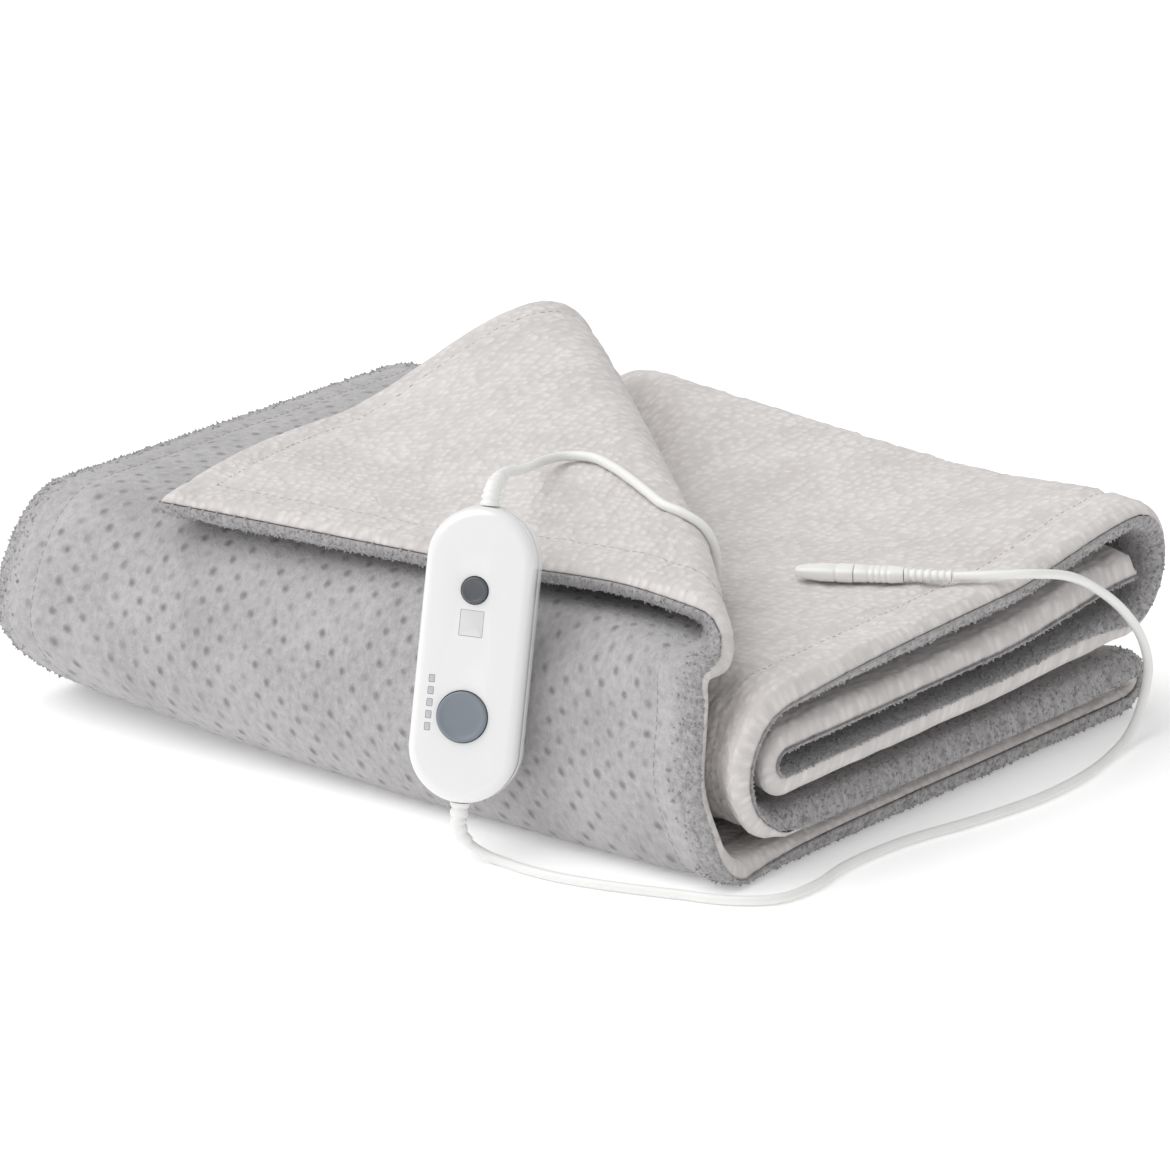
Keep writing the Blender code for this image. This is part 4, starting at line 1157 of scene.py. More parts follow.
MAINS_LEAD_ROUTE = (
    (-1.95, 121.95, 170.9),
    (3.45, 124.35, 171.3),
    (16.0, 130.5, 169.4),
    (34.0, 140.0, 162.5),
    (54.0, 150.5, 155.4),
    (74.0, 160.5, 149.4),
    (90.0, 167.3, 145.4),
    (103.0, 166.3, 143.9),
    (108.6, 155.5, 144.4),
    (105.0, 139.5, 144.4),
    (98.5, 123.0, 143.7),
    (91.8, 107.6, 142.7),
    (87.2, 95.0, 141.2),
    (88.8, 84.0, 138.8),
    (93.4, 75.4, 132.4),
    (97.6, 72.2, 120.6),
    (99.8, 73.6, 109.4),
    (105.0, 79.8, 101.2),
    (114.4, 91.4, 99.3),
    (136.0, 115.6, 99.4),
    (160.0, 153.2, 98.7),
    (190.5, 194.2, 97.3),
    (222.6, 236.0, 95.5),
    (251.0, 273.0, 93.5),
    (275.0, 301.0, 91.6),
    (296.0, 321.0, 88.4),
    (313.0, 331.0, 81.4),
    (323.5, 335.0, 66.0),
    (327.0, 336.0, 44.0),
    (328.5, 336.0, 22.0),
    (332.0, 335.6, 8.0),
    (339.0, 335.0, 2.6),
    (346.0, 334.6, 2.4),
)
MAINS_TAIL_ROUTE = (
    (399.2, 290.6, 2.4),
    (398.0, 281.0, 2.4),
    (393.0, 268.5, 2.5),
    (384.0, 260.5, 3.8),
    (377.2, 253.0, 5.7),
    (375.2, 245.0, 6.7),
)
CONNECTOR_START = Vector((179.6, -2.2, 101.6))
CONNECTOR_END = Vector((138.6, 59.6, 101.8))
LEAD_RELIEF_LENGTH = 22.0
CONNECTOR_PLUG_LENGTH = 23.0
JOINT_GAP = 0.3
COIL_CENTRE = Vector((361.5, 298.5, 0.0))
COIL_TURNS = 4
COIL_SPREAD = 14.05
COIL_INNER_TURN = 18.95
COIL_LOW = 2.4
COIL_HIGH = 7.0
COIL_REACH_IN = 39.3
COIL_REACH_OUT = 38.5
COIL_POINTS_A_TURN = 14
# Parts of a turn over which the lead climbs to the upper layer, comes down again, and winds in at the start.
COIL_CLIMB = 0.5
COIL_DROP = 0.3
COIL_WIND_IN = 0.35
LEAD_RELIEF_RADIUS = 2.9
PLUG_RELIEF_RADIUS = 3.0
PLUG_PLACE = Vector((375.0, 244.0, 6.8))
PLUG_RELIEF_LENGTH = 22.0
PLUG_LENGTH = 36.0
PIN_LENGTH = 19.0
PIN_SPACING = 18.6
PIN_RADIUS = 2.0
PIN_COVER = 9.5
PIN_COVER_RADIUS = 2.15


def coil_route():
    """Two layers of four turns: inwards on the floor, then outwards on top of them, clockwise from above."""
    outer = COIL_INNER_TURN + COIL_SPREAD
    (in_x, in_y, _), (out_x, out_y, _) = MAINS_LEAD_ROUTE[-1], MAINS_TAIL_ROUTE[0]
    start = math.atan2(in_y - COIL_CENTRE.y, in_x - COIL_CENTRE.x)
    end = math.atan2(out_y - COIL_CENTRE.y, out_x - COIL_CENTRE.x)
    total = 2 * COIL_TURNS * 2 * math.pi + (start - end) - 2 * math.pi
    whole = total / (2 * math.pi)
    count = round(whole * COIL_POINTS_A_TURN)
    points = []
    for i in range(2, count - 1):
        share = i / count
        angle = start - total * share
        turn = total * share / (2 * math.pi)
        late = turn if share < 0.5 else turn - whole / 2
        across = COIL_SPREAD * min(1.0, max(0.0, (late - 0.5) / (whole / 2 - 1.0)))
        radius = outer - across if share < 0.5 else COIL_INNER_TURN + across
        height = mix(COIL_LOW, COIL_HIGH, smooth((turn - whole / 2 + COIL_CLIMB / 2) / COIL_CLIMB))
        height = mix(height, COIL_LOW, smooth((turn - whole + COIL_DROP) / COIL_DROP))
        lead_in = smooth(1.0 - turn / COIL_WIND_IN) * (COIL_REACH_IN - outer)
        lead_out = smooth(1.0 - (whole - turn) / COIL_DROP) * (COIL_REACH_OUT - outer)
        reach = radius + lead_in + lead_out
        points.append(COIL_CENTRE + Vector((reach * math.cos(angle), reach * math.sin(angle), height)))
    return points


def lead_piece(name, route, diameter, finish, nodes):
    """A lead as one smooth curve through its route's points, round in section."""
    points = [to_frame(point) for point in route]
    curve = bpy.data.curves.new(name, "CURVE")
    curve.dimensions = "3D"
    curve.bevel_depth = diameter / 2
    curve.bevel_resolution = 5
    curve.resolution_u = 8
    curve.use_fill_caps = True
    spline = curve.splines.new("BEZIER")
    spline.bezier_points.add(len(points) - 1)
    ends = [2 * points[0] - points[1]] + points + [2 * points[-1] - points[-2]]
    for knot, before, here, after in zip(spline.bezier_points, ends, ends[1:], ends[2:]):
        reach_in, reach_out = (here - before).length / 3, (after - here).length / 3
        heading = ((here - before) / reach_in + (after - here) / reach_out).normalized()
        knot.co = here
        knot.handle_left_type = knot.handle_right_type = "FREE"
        knot.handle_left = here - heading * reach_in
        knot.handle_right = here + heading * reach_out
    piece = bpy.data.objects.new(name, curve)
    curve.materials.append(finish)
    bpy.context.scene.collection.objects.link(piece)
    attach(piece, BLANKET)
    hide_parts(*nodes)
    return piece


def line_frame(start, direction):
    """A frame at start whose Z runs along direction and whose Y points as nearly up as it can."""
    along = direction.normalized()
    across = Vector((0.0, 0.0, 1.0)).cross(along).normalized()
    up = along.cross(across)
    axes = Matrix((across, up, along)).transposed().to_4x4()
    return Matrix.Translation(to_frame(start)) @ axes


# ---------------------------------------------------------------- the handset

HANDSET_LENGTH = 138.0
HANDSET_WIDTH = 52.0
HANDSET_UPPER = 9.0
HANDSET_LOWER = 12.7
FACE_CENTRE = Vector((-34.75, 110.35, 98.3))
FACE_AZIMUTH = 205.0
FACE_ELEVATION = 14.0
FACE_LEAN = -2.4
SMALL_BUTTON = {"radius": 6.2, "along": 30.4, "across": -1.0, "proud": 1.4}
LARGE_BUTTON = {"radius": 11.8, "along": -28.5, "across": -1.0, "proud": 1.6}
BUTTON_RIM = 0.9
# A button's dish: rings inwards from its rim, each with its step and how far it drops. DISH_WHOLE steps would
# reach DISH_SHARE of the radius.
DISH = ((0.25, 0.0), (0.3, 0.35), (0.4, 0.3), (0.6, 0.2), (1.0, 0.1), (1.6, 0.05))
DISH_SHARE = 0.82
DISH_WHOLE = 5.0
BUTTON_CLEARANCE = 0.4
BUTTON_SEAT = 5.0
BUTTON_SPARE = 1.8
LAMP_COUNT = 5
LAMP_FIRST_ALONG = -12.5
LAMP_PITCH = 5.6
LAMP_ACROSS = -17.0
LAMP_SIZE = (2.6, 3.4, 1.5)
WINDOW_SIZE = (11.0, 12.0, 1.6)
WINDOW_ACROSS = -1.0
WINDOW_ALONG = 15.0
WINDOW_ROOM = 0.3
WINDOW_CORNER = 0.6
# How far each cutter stands out above the face, so that it cuts clean through it.
CUTTER_SPARE = 4.0
SCREW_RADIUS = 2.6
SCREW_SLOT = (3.4, 0.6, 1.0)
SCREW_ALONG = 52.0
SCREW_DEPTH = 1.5
SCREW_WELL = 3.0
SCREW_WELL_RADIUS = 3.1
SHELL_EDGE = 0.35
BACK_RIM = 7.0
COLLAR_RADIUS = 4.6
COLLAR_END_RADIUS = 2.9
COLLAR_REACH = 16.0
SLEEVE_STEP = 1.3
SLEEVE_SLOT = 0.82
MAINS_COLLAR_BEND = 70.0
MAINS_COLLAR_BEND_RADIUS = 10.0


def handset_frame():
    """The handset's own axes: X across its face, Y up its length, Z out of its face."""
    turn = math.radians(FACE_AZIMUTH)
    rise = math.radians(FACE_ELEVATION)
    out = Vector((math.cos(turn) * math.cos(rise), math.sin(turn) * math.cos(rise), math.sin(rise)))
    across = Vector((0.0, 0.0, 1.0)).cross(out).normalized()
    along = out.cross(across)
    axes = Matrix((across, along, out)).transposed().to_4x4()
    lean = Matrix.Rotation(math.radians(FACE_LEAN), 4, "Z")
    return Matrix.Translation(to_frame(FACE_CENTRE)) @ axes @ lean


def on_face(across, along):
    return Matrix.Translation((across * MM, along * MM, 0.0))


def case_half(low, high, rim_low, rim_high):
    """Half of the housing: a cylinder stretched into a round-ended bar, with its rim rounded."""
    piece = cylinder(96, HANDSET_WIDTH / 2, low, high)
    own_place(piece)
    edit(piece)
    stretch = (HANDSET_LENGTH - HANDSET_WIDTH) / 2
    pick(piece, "VERT", lambda v: v.y > -CLOSE)
    slide_by(0.0, stretch, 0.0)
    pick(piece, "VERT", lambda v: v.y < -CLOSE)
    slide_by(0.0, -stretch, 0.0)
    for height, rim in ((low, rim_low), (high, rim_high)):
        pick(piece, "EDGE", lambda v: abs(v.z - height) < CLOSE)
        bpy.ops.mesh.bevel(offset=rim * MM, segments=9 if rim > 2.0 else 2, profile=0.5, affect="EDGES")
    end_edit()
    return piece


def key_cap(size, dish):
    """A round button: a cylinder with a rounded rim and a shallow dish in its top."""
    low, high = BUTTON_SPARE - BUTTON_SEAT, size["proud"]
    piece = cylinder(64, size["radius"], low, high)
    own_place(piece)
    edit(piece)
    pick(piece, "EDGE", lambda v: abs(v.z - high) < CLOSE)
    bpy.ops.mesh.bevel(offset=BUTTON_RIM * MM, segments=5, profile=0.5, affect="EDGES")
    pick(piece, "FACE", lambda centre, normal: centre.z > high - CLOSE and normal.z > UPWARD)
    share = size["radius"] * DISH_SHARE
    for step, drop in DISH:
        bpy.ops.mesh.inset(thickness=step * share / DISH_WHOLE * MM)
        slide_by(0.0, 0.0, -drop * dish)
    end_edit()
    return piece


def swept_relief(name, points, radii, finish, nodes):
    """A ribbed sleeve drawn along a line of points, thinner towards its end, made a mesh."""
    curve = bpy.data.curves.new(name, "CURVE")
    curve.dimensions = "3D"
    curve.bevel_depth = 1.0 * MM
    curve.bevel_resolution = 6
    curve.use_fill_caps = True
    spline = curve.splines.new("POLY")
    spline.points.add(len(points) - 1)
    for point, place, radius in zip(spline.points, points, radii):
        point.co = (*place, 1.0)
        point.radius = radius
    piece = bpy.data.objects.new(name, curve)
    bpy.context.scene.collection.objects.link(piece)
    choose(piece)
    bpy.ops.object.convert(target="MESH")
    piece = bpy.context.object
    finish_piece(piece, name, finish, Matrix.Identity(4), nodes, angle=50.0)


# ---------------------------------------------------------------- operators


# The photograph's frame: its side in pixels, its scale, the pixel where it shows the stack's near corner, and
# how many degrees the view turns and falls. The middle of the stack sets how far off the camera aims.
PICTURE = 1170
PIXELS_A_MM = 2.15
CORNER_PIXEL = (703, 885)
VIEW_TURN = 39.0
VIEW_FALL = 20.4
STACK_MIDDLE = Vector((150.0, 150.0, 60.0))
SENSOR = 36.0
# In metres.
FLOOR_SIZE = 60.0
FLOOR_DROP = 0.0004
# From above and a little from the far left, wide and soft.
KEY_TOWARDS = Vector((0.42, -0.38, -0.82))
KEY_SPREAD = 65.0


class HEATEDBLANKET_OT_studio(bpy.types.Operator):
    """Lay the pale floor, light it softly and set the camera"""

    bl_idname = "heated_blanket.studio"
    bl_label = "Studio"

    def execute(self, context):
        studio = context.scene.heated_studio
        start_clean()
        bpy.ops.mesh.primitive_plane_add(size=FLOOR_SIZE, location=(0.0, 0.0, -FLOOR_DROP))
        floor = context.object
        floor.name = "paper_floor"
        own_place(floor)
        floor.data.materials.append(floor_material(studio.floor))

        world = bpy.data.worlds.new("studio_light")
        context.scene.world = world
        world.use_nodes = True
        background = world.node_tree.nodes["Background"]
        background.inputs["Color"].default_value = (1.0, 1.0, 1.0, 1.0)
        background.inputs["Strength"].default_value = studio.sky
        start_clean()
        towards = KEY_TOWARDS.to_track_quat("-Z", "Y").to_euler()
        bpy.ops.object.light_add(type="SUN", rotation=towards)
        key = context.object
        key.name = "key_light"
        key.data.energy = studio.key
        key.data.angle = math.radians(KEY_SPREAD)

        turn, fall = math.radians(VIEW_TURN), math.radians(VIEW_FALL)
        view = Vector((math.cos(turn) * math.cos(fall), math.sin(turn) * math.cos(fall), -math.sin(fall)))
        right = Vector((math.sin(turn), -math.cos(turn), 0.0))
        up = right.cross(view)
        wide = PICTURE / PIXELS_A_MM
        aside, above = PICTURE / 2 - CORNER_PIXEL[0], CORNER_PIXEL[1] - PICTURE / 2
        aim = right * aside / PIXELS_A_MM + up * above / PIXELS_A_MM
        aim += view * (STACK_MIDDLE - aim).dot(view)
        away = wide * studio.lens / SENSOR
        start_clean()
        bpy.ops.object.camera_add()
        camera = context.object
        camera.name = "photo_camera"
        place = Matrix((right, up, -view)).transposed().to_4x4()
        place.translation = to_frame(aim - view * away)
        camera.matrix_world = place
        camera.data.lens = studio.lens
        camera.data.sensor_width = SENSOR
        camera.data.clip_end = 100.0
        context.scene.camera = camera
        context.scene.view_settings.view_transform = "Standard"
        return {"FINISHED"}


RELIEF_FOOT = 1.2
RELIEF_SOFT = 0.25
RIBS = 6
# What each moulding is raised from: a low block with rounded corners.
CONNECTOR_PLUG_FOOT = {"size": (8.8, 6.3), "low": 0.0, "high": 1.6, "corner": 2.4}
SOCKET_FOOT = {"size": (11.6, 6.8), "low": 0.0, "high": 2.0, "corner": 2.6}
MAINS_PLUG_FOOT = {"size": (12.0, 10.0), "low": 0.0, "high": 1.5, "corner": 4.0}
# Rows to raise a moulding through: the step up, then the shares that its width and thickness change by.
LEAD_RIB = ((0.5, 0.84, 0.84), (1.15, 1.01, 1.0), (0.5, 1.215, 1.204), (1.25, 1.01, 1.0))
PLUG_RIB = ((0.5, 0.84, 0.84), (1.15, 1.02, 1.02), (0.5, 1.25, 1.23), (1.25, 1.02, 1.02))
GROOVE = ((0.4, 0.93, 0.93), (0.8, 1.0, 1.0), (0.4, 1.075, 1.075))
CONNECTOR_PLUG_ROWS = (
    ((3.0, 1.17, 1.05), (2.0, 1.03, 1.0))
    + GROOVE
    + ((1.3, 1.0, 1.0), *GROOVE) * 3
    + ((CONNECTOR_PLUG_LENGTH - 16.9, 1.04, 1.02),)
)
SOCKET_ROWS = (
    (5.0, 0.985, 0.99),
    (0.5, 0.92, 0.92),
    (0.9, 1.0, 1.0),
    (0.5, 1.08, 1.08),
    (6.1, 0.98, 0.98),
    (4.0, 0.86, 0.9),
    (4.0, 0.85, 0.88),
    (2.6, 0.82, 0.86),
    (1.4, 0.75, 0.8),
)
MAINS_PLUG_ROWS = (
    (2.0, 1.4, 1.28),
    (6.0, 1.18, 1.02),
    (6.0, 1.1, 1.0),
    (1.0, 0.94, 0.94),
    (2.0, 1.0, 1.0),
    (1.0, 1.07, 1.06),
    (2.0, 1.0, 1.0),
    (1.0, 0.94, 0.94),
    (2.0, 1.0, 1.0),
    (1.0, 1.07, 1.06),
    (PLUG_LENGTH - 25.5, 1.14, 1.0),
)


def ribbed_relief(radius, rib, length):
    """A strain relief up from the origin: ribs with slots between them, then a plain end."""
    relief = cylinder(40, radius, 0.0, RELIEF_FOOT)
    own_place(relief)
    pitch = sum(row[0] for row in rib)
    raise_rows(relief, rib * RIBS + ((length - RELIEF_FOOT - RIBS * pitch, 1.0, 1.0),))
    soften(relief, RELIEF_SOFT)
    return relief


def up_line(line, length):
    """A place further up a line, by a length in millimetres."""
    return line @ Matrix.Translation((0.0, 0.0, length * MM))


class HEATEDBLANKET_OT_connector(bpy.types.Operator):
    """Model the blanket lead's ribbed relief and plug, and the housing on the cloth that they push into"""

    bl_idname = "heated_blanket.connector"
    bl_label = "Connector"

    def execute(self, context):
        lead = context.scene.heated_lead
        line = line_frame(CONNECTOR_START, CONNECTOR_END - CONNECTOR_START)
        soft = moulded_material("soft_pvc_white", lead.pvc, 0.42, 0.8, 0.03)
        hard = moulded_material("abs_white_satin", lead.pvc, 0.3, 1.2, 0.015, coat=0.1)
        relief = ribbed_relief(LEAD_RELIEF_RADIUS, LEAD_RIB, LEAD_RELIEF_LENGTH)
        finish_piece(relief, "lead_relief_ribbed", soft, line, ("lead_relief",))

        plug = rounded_block(**CONNECTOR_PLUG_FOOT)
        raise_rows(plug, CONNECTOR_PLUG_ROWS)
        soften(plug, 0.3)
        place = up_line(line, LEAD_RELIEF_LENGTH + JOINT_GAP)
        finish_piece(plug, "connector_plug_body", hard, place, ("connector_plug",))

        socket = rounded_block(**SOCKET_FOOT)
        raise_rows(socket, SOCKET_ROWS)
        soften(socket, 0.5, 3)
        place = up_line(line, LEAD_RELIEF_LENGTH + CONNECTOR_PLUG_LENGTH + 2 * JOINT_GAP)
        name, slot = "blanket_socket_housing", "white_gloss_plastic"
        finish_piece(socket, name, hard, place, ("blanket_socket",))
        return {"FINISHED"}


class HEATEDBLANKET_OT_mains_plug(bpy.types.Operator):
    """Model the two-pin plug and its relief, lying beside the coil"""

    bl_idname = "heated_blanket.mains_plug"
    bl_label = "Mains plug"

    def execute(self, context):
        lead = context.scene.heated_lead
        soft = moulded_material("soft_pvc_white_plug", lead.pvc, 0.42, 0.8, 0.03)
        line = line_frame(PLUG_PLACE, Vector((0.0, -1.0, 0.0)))
        relief = ribbed_relief(PLUG_RELIEF_RADIUS, PLUG_RIB, PLUG_RELIEF_LENGTH)
        finish_piece(relief, "plug_relief_ribbed", soft, line, ("plug_relief",))

        body = rounded_block(**MAINS_PLUG_FOOT)
        raise_rows(body, MAINS_PLUG_ROWS)
        soften(body, 0.7, 3)
        place = up_line(line, PLUG_RELIEF_LENGTH + JOINT_GAP)
        finish_piece(body, "mains_plug_body", soft, place, ("mains_plug",))

        black = moulded_material("pbt_black_sleeve", lead.sleeve, 0.45, 0.6, 0.02)
        metal = plated_material("nickel_plated_brass_drawn", lead.pin)
        tip = PIN_LENGTH / 2
        for number, side in ((1, -1.0), (2, 1.0)):
            pin = cylinder(32, PIN_RADIUS, -tip, tip)
            edit(pin)
            pick(pin, "EDGE", lambda v: v.z > tip - CLOSE)
            bpy.ops.mesh.bevel(offset=1.0 * MM, segments=5, affect="EDGES")
            end_edit()
            middle = (side * PIN_SPACING / 2 * MM, 0.0, (PLUG_LENGTH + JOINT_GAP + PIN_LENGTH / 2) * MM)
            spot = place @ Matrix.Translation(middle)
            name, node = f"plug_pin_bright_{number}", f"plug_pin_{number}"
            finish_piece(pin, name, metal, spot, (node,))
            cover = cylinder(32, PIN_COVER_RADIUS, -tip, PIN_COVER - tip)
            own_place(cover)
            soften(cover, 0.12)
            finish_piece(cover, f"plug_pin_sleeve_{number}", black, spot)
        return {"FINISHED"}


class HEATEDBLANKET_OT_leads(bpy.types.Operator):
    """Lay the blanket lead from the handset to its connector, and the mains lead to its coil and plug"""

    bl_idname = "heated_blanket.leads"
    bl_label = "Leads"

    def execute(self, context):
        lead = context.scene.heated_lead
        pvc = moulded_material("extruded_pvc_white", lead.pvc, 0.36, 1.5, 0.02)
        blanket = lead_piece("blanket_lead_cord", BLANKET_LEAD_ROUTE, lead.diameter, pvc, ("blanket_lead",))
        route = list(MAINS_LEAD_ROUTE) + coil_route() + list(MAINS_TAIL_ROUTE)
        nodes = ("mains_lead", "mains_coil", "mains_tail")
        mains = lead_piece("mains_lead_cord", route, lead.diameter, pvc, nodes)
        names = ["plug_relief_ribbed", "mains_plug_body"]
        names += [f"plug_pin_{kind}_{number}" for kind in ("bright", "sleeve") for number in (1, 2)]
        return {"FINISHED"}


class HEATEDBLANKET_OT_cloths(bpy.types.Operator):
    """Fold the grey flannel and the sherpa lining, with their pile"""

    bl_idname = "heated_blanket.cloths"
    bl_label = "Cloths"

    def execute(self, context):
        cloth = context.scene.heated_cloth
        flannel = flannel_material(cloth)
        sherpa = sherpa_material(cloth)
        grey = cloth_piece("flannel_cloth", True, flannel, "outer_flannel")
        cloth_piece("sherpa_cloth", False, sherpa, "sherpa_lining")
        mesh = hem_tufts(grey)
        mesh.materials.append(tuft_material(cloth))
        tufts = bpy.data.objects.new("flannel_hem_tufts", mesh)
        context.scene.collection.objects.link(tufts)
        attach(tufts, BLANKET)
        return {"FINISHED"}


class HEATEDBLANKET_OT_housing(bpy.types.Operator):
    """Mould the handset's two shells, with pockets for its buttons and windows"""

    bl_idname = "heated_blanket.housing"
    bl_label = "Handset housing"

    def execute(self, context):
        handset = context.scene.heated_handset
        gloss = moulded_material("abs_white_gloss", handset.housing, 0.16, 3.0, 0.02, coat=0.4, darker=0.95)
        place = handset_frame()
        upper = case_half(-HANDSET_UPPER, 0.0, SHELL_EDGE, handset.rim / MM)
        for size in (SMALL_BUTTON, LARGE_BUTTON):
            radius = size["radius"] + BUTTON_CLEARANCE
            cut_out(upper, cylinder(64, radius, -BUTTON_SEAT, CUTTER_SPARE, size["across"], size["along"]))
        lamps = [(LAMP_SIZE, LAMP_ACROSS, LAMP_FIRST_ALONG - i * LAMP_PITCH) for i in range(LAMP_COUNT)]
        for size, across, along in (*lamps, (WINDOW_SIZE, WINDOW_ACROSS, WINDOW_ALONG)):
            room = [length + WINDOW_ROOM for length in size]
            cut_out(upper, rounded_block(room, -room[2], CUTTER_SPARE, WINDOW_CORNER, 3, across, along))
        edit(upper)
        for size in (SMALL_BUTTON, LARGE_BUTTON):
            centre = Vector((size["across"], size["along"]))
            reach = size["radius"] + BUTTON_CLEARANCE
            pick(upper, "EDGE", lambda v: abs(v.z) < CLOSE and abs((v.xy - centre).length - reach) < RING)
            bpy.ops.mesh.bevel(offset=0.3 * MM, segments=3, affect="EDGES")
        end_edit()
        finish_piece(upper, "handset_face_shell", gloss, place, ("handset_upper_shell",))

        base = -HANDSET_UPPER - JOINT_GAP
        bottom = base - HANDSET_LOWER
        lower = case_half(bottom, base, BACK_RIM, SHELL_EDGE)
        for along in (-SCREW_ALONG, SCREW_ALONG):
            low, high = bottom - SCREW_WELL, bottom + SCREW_WELL
            cut_out(lower, cylinder(40, SCREW_WELL_RADIUS, low, high, 0.0, along))
        finish_piece(lower, "handset_back_shell", gloss, place, ("handset_lower_shell",))
        steel = plated_material("zinc_plated_steel_screw", context.scene.heated_lead.pin)
        for number, along in ((1, -SCREW_ALONG), (2, SCREW_ALONG)):
            spot = place @ Matrix.Translation((0.0, along * MM, (bottom + SCREW_DEPTH) * MM))
            finish_piece(screw_head(), f"back_screw_{number}", steel, spot)
        return {"FINISHED"}


def screw_head():
    """A small pan-head screw seen from below, with a crossed slot."""
    head = cylinder(32, SCREW_RADIUS, -0.1, SCREW_DEPTH)
    own_place(head)
    for turn in (0.0, math.pi / 2):
        start_clean()
        bpy.ops.mesh.primitive_cube_add(size=1.0, rotation=(0.0, 0.0, turn))
        slot = bpy.context.object
        slot.scale = Vector(SCREW_SLOT) * MM
        cut_out(head, slot)
    soften(head, 0.2)
    return head


class HEATEDBLANKET_OT_buttons(bpy.types.Operator):
    """Model the two round buttons, each on the body that it moves with"""

    bl_idname = "heated_blanket.buttons"
    bl_label = "Buttons"

    def execute(self, context):
        handset = context.scene.heated_handset
        place = handset_frame()
        for name, size, tint, slot, dish in (
            ("small_button", SMALL_BUTTON, handset.small_button, "dark_grey_plastic", 0.5),
            ("large_button", LARGE_BUTTON, handset.large_button, "slate_plastic", 0.9),
        ):
            rubbery = moulded_material("abs_satin_" + name, tint, 0.38, 0.35, 0.02, darker=0.9)
            spot = place @ on_face(size["across"], size["along"])
            finish_piece(key_cap(size, dish), name + "_cap", rubbery, spot, (name,), body=name)
        return {"FINISHED"}


class HEATEDBLANKET_OT_windows(bpy.types.Operator):
    """Set the five lamp windows and the display window into the handset's face"""

    bl_idname = "heated_blanket.windows"
    bl_label = "Windows"

    def execute(self, context):
        handset = context.scene.heated_handset
        place = handset_frame()
        lamp = moulded_material("polycarbonate_lamp_window", handset.lamp, 0.12, 1.0, 0.005, coat=0.3)
        smoke = moulded_material("polycarbonate_display_window", handset.display, 0.08, 1.0, 0.003, coat=0.5)
        for i in range(LAMP_COUNT):
            name, node = f"lamp_lens_{i + 1}", f"lamp_window_{i + 1}"
            spot = place @ on_face(LAMP_ACROSS, LAMP_FIRST_ALONG - i * LAMP_PITCH)
            finish_piece(window_lens(LAMP_SIZE), name, lamp, spot, (node,))
        spot = place @ on_face(WINDOW_ACROSS, WINDOW_ALONG)
        lens = window_lens(WINDOW_SIZE)
        finish_piece(lens, "display_lens", smoke, spot, ("display_window",))
        return {"FINISHED"}


def window_lens(size):
    """A small lens flush with the face, its corners and rim rounded."""
    lens = rounded_block(size, -size[2], 0.0, WINDOW_CORNER)
    soften(lens, 0.15)
    return lens


class HEATEDBLANKET_OT_collars(bpy.types.Operator):
    """Draw the two ribbed sleeves that the leads leave the handset by"""

    bl_idname = "heated_blanket.collars"
    bl_label = "Collars"

    def execute(self, context):
        lead = context.scene.heated_lead
        soft = moulded_material("soft_pvc_white_collar", lead.pvc, 0.4, 0.8, 0.03)
        middle = MAINS_COLLAR_BEND_RADIUS
        bend = [math.radians(MAINS_COLLAR_BEND * i / 12) for i in range(13)]
        curved = [(0.0, middle - middle * math.cos(a), middle * math.sin(a)) for a in bend]
        straight = [(0.0, 0.0, i * SLEEVE_STEP) for i in range(4)]
        for name, end, turn, line, route in (
            ("mains_collar", 1.0, -90.0, curved, MAINS_LEAD_ROUTE),
            ("blanket_collar", -1.0, 90.0, straight, BLANKET_LEAD_ROUTE),
        ):
            root = (0.0, end * (HANDSET_LENGTH / 2 + JOINT_GAP) * MM, -HANDSET_UPPER * MM)
            place = handset_frame() @ Matrix.Translation(root) @ Matrix.Rotation(math.radians(turn), 4, "X")
            points = [place @ (Vector(spot) * MM) for spot in line] + along_route(route, COLLAR_REACH)
            radii = sleeve_radii(points, COLLAR_RADIUS, COLLAR_END_RADIUS)
            swept_relief(name + "_sleeve", points, radii, soft, (name,))
        return {"FINISHED"}


def along_route(route, reach):
    """Points a sleeve's step apart along the first reach of a route, without its start."""
    made, walked = [], 0.0
    for a, b in zip(route, route[1:]):
        a, b = Vector(a), Vector(b)
        length = (b - a).length
        steps = max(1, round(length / SLEEVE_STEP))
        for i in range(1, steps + 1):
            walked += length / steps
            if walked > reach:
                return made
            made.append(to_frame(a.lerp(b, i / steps)))
    return made


def sleeve_radii(points, start, end):
    """Radii in millimetres along a sleeve: a taper with a slot at every third point."""
    count = len(points) - 1
    slots = [SLEEVE_SLOT if i % 3 == 2 and i < count - 1 else 1.0 for i in range(count + 1)]
    return [mix(start, end, i / count) * slots[i] for i in range(count + 1)]


class HEATEDBLANKET_OT_stitching(bpy.types.Operator):
    """Sew the hems: a line of stitches along each edge, on both sides"""

    bl_idname = "heated_blanket.stitching"
    bl_label = "Stitching"

    def execute(self, context):
        cloth = context.scene.heated_cloth
        length = cloth.stitch_length / MM
        for name, outer, tint, slot in (
            ("hem_stitches_grey", True, cloth.thread, "grey_flannel"),
            ("hem_stitches_light", False, cloth.thread_light, "light_sherpa"),
        ):
            shape = bmesh.new()
            for y in (SIDE_CREASE, STRIP_WIDTH - SIDE_CREASE):
                sew(shape, top_line(y, outer), length)
                sew(shape, fold_line(y, outer), length)
            sew(shape, end_line(END_CREASE, outer), length)
            mesh = bpy.data.meshes.new(name)
            shape.to_mesh(mesh)
            shape.free()
            mesh.shade_smooth()
            mesh.materials.append(thread_material(name, tint))
            piece = bpy.data.objects.new(name, mesh)
            context.scene.collection.objects.link(piece)
            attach(piece, BLANKET)
        return {"FINISHED"}


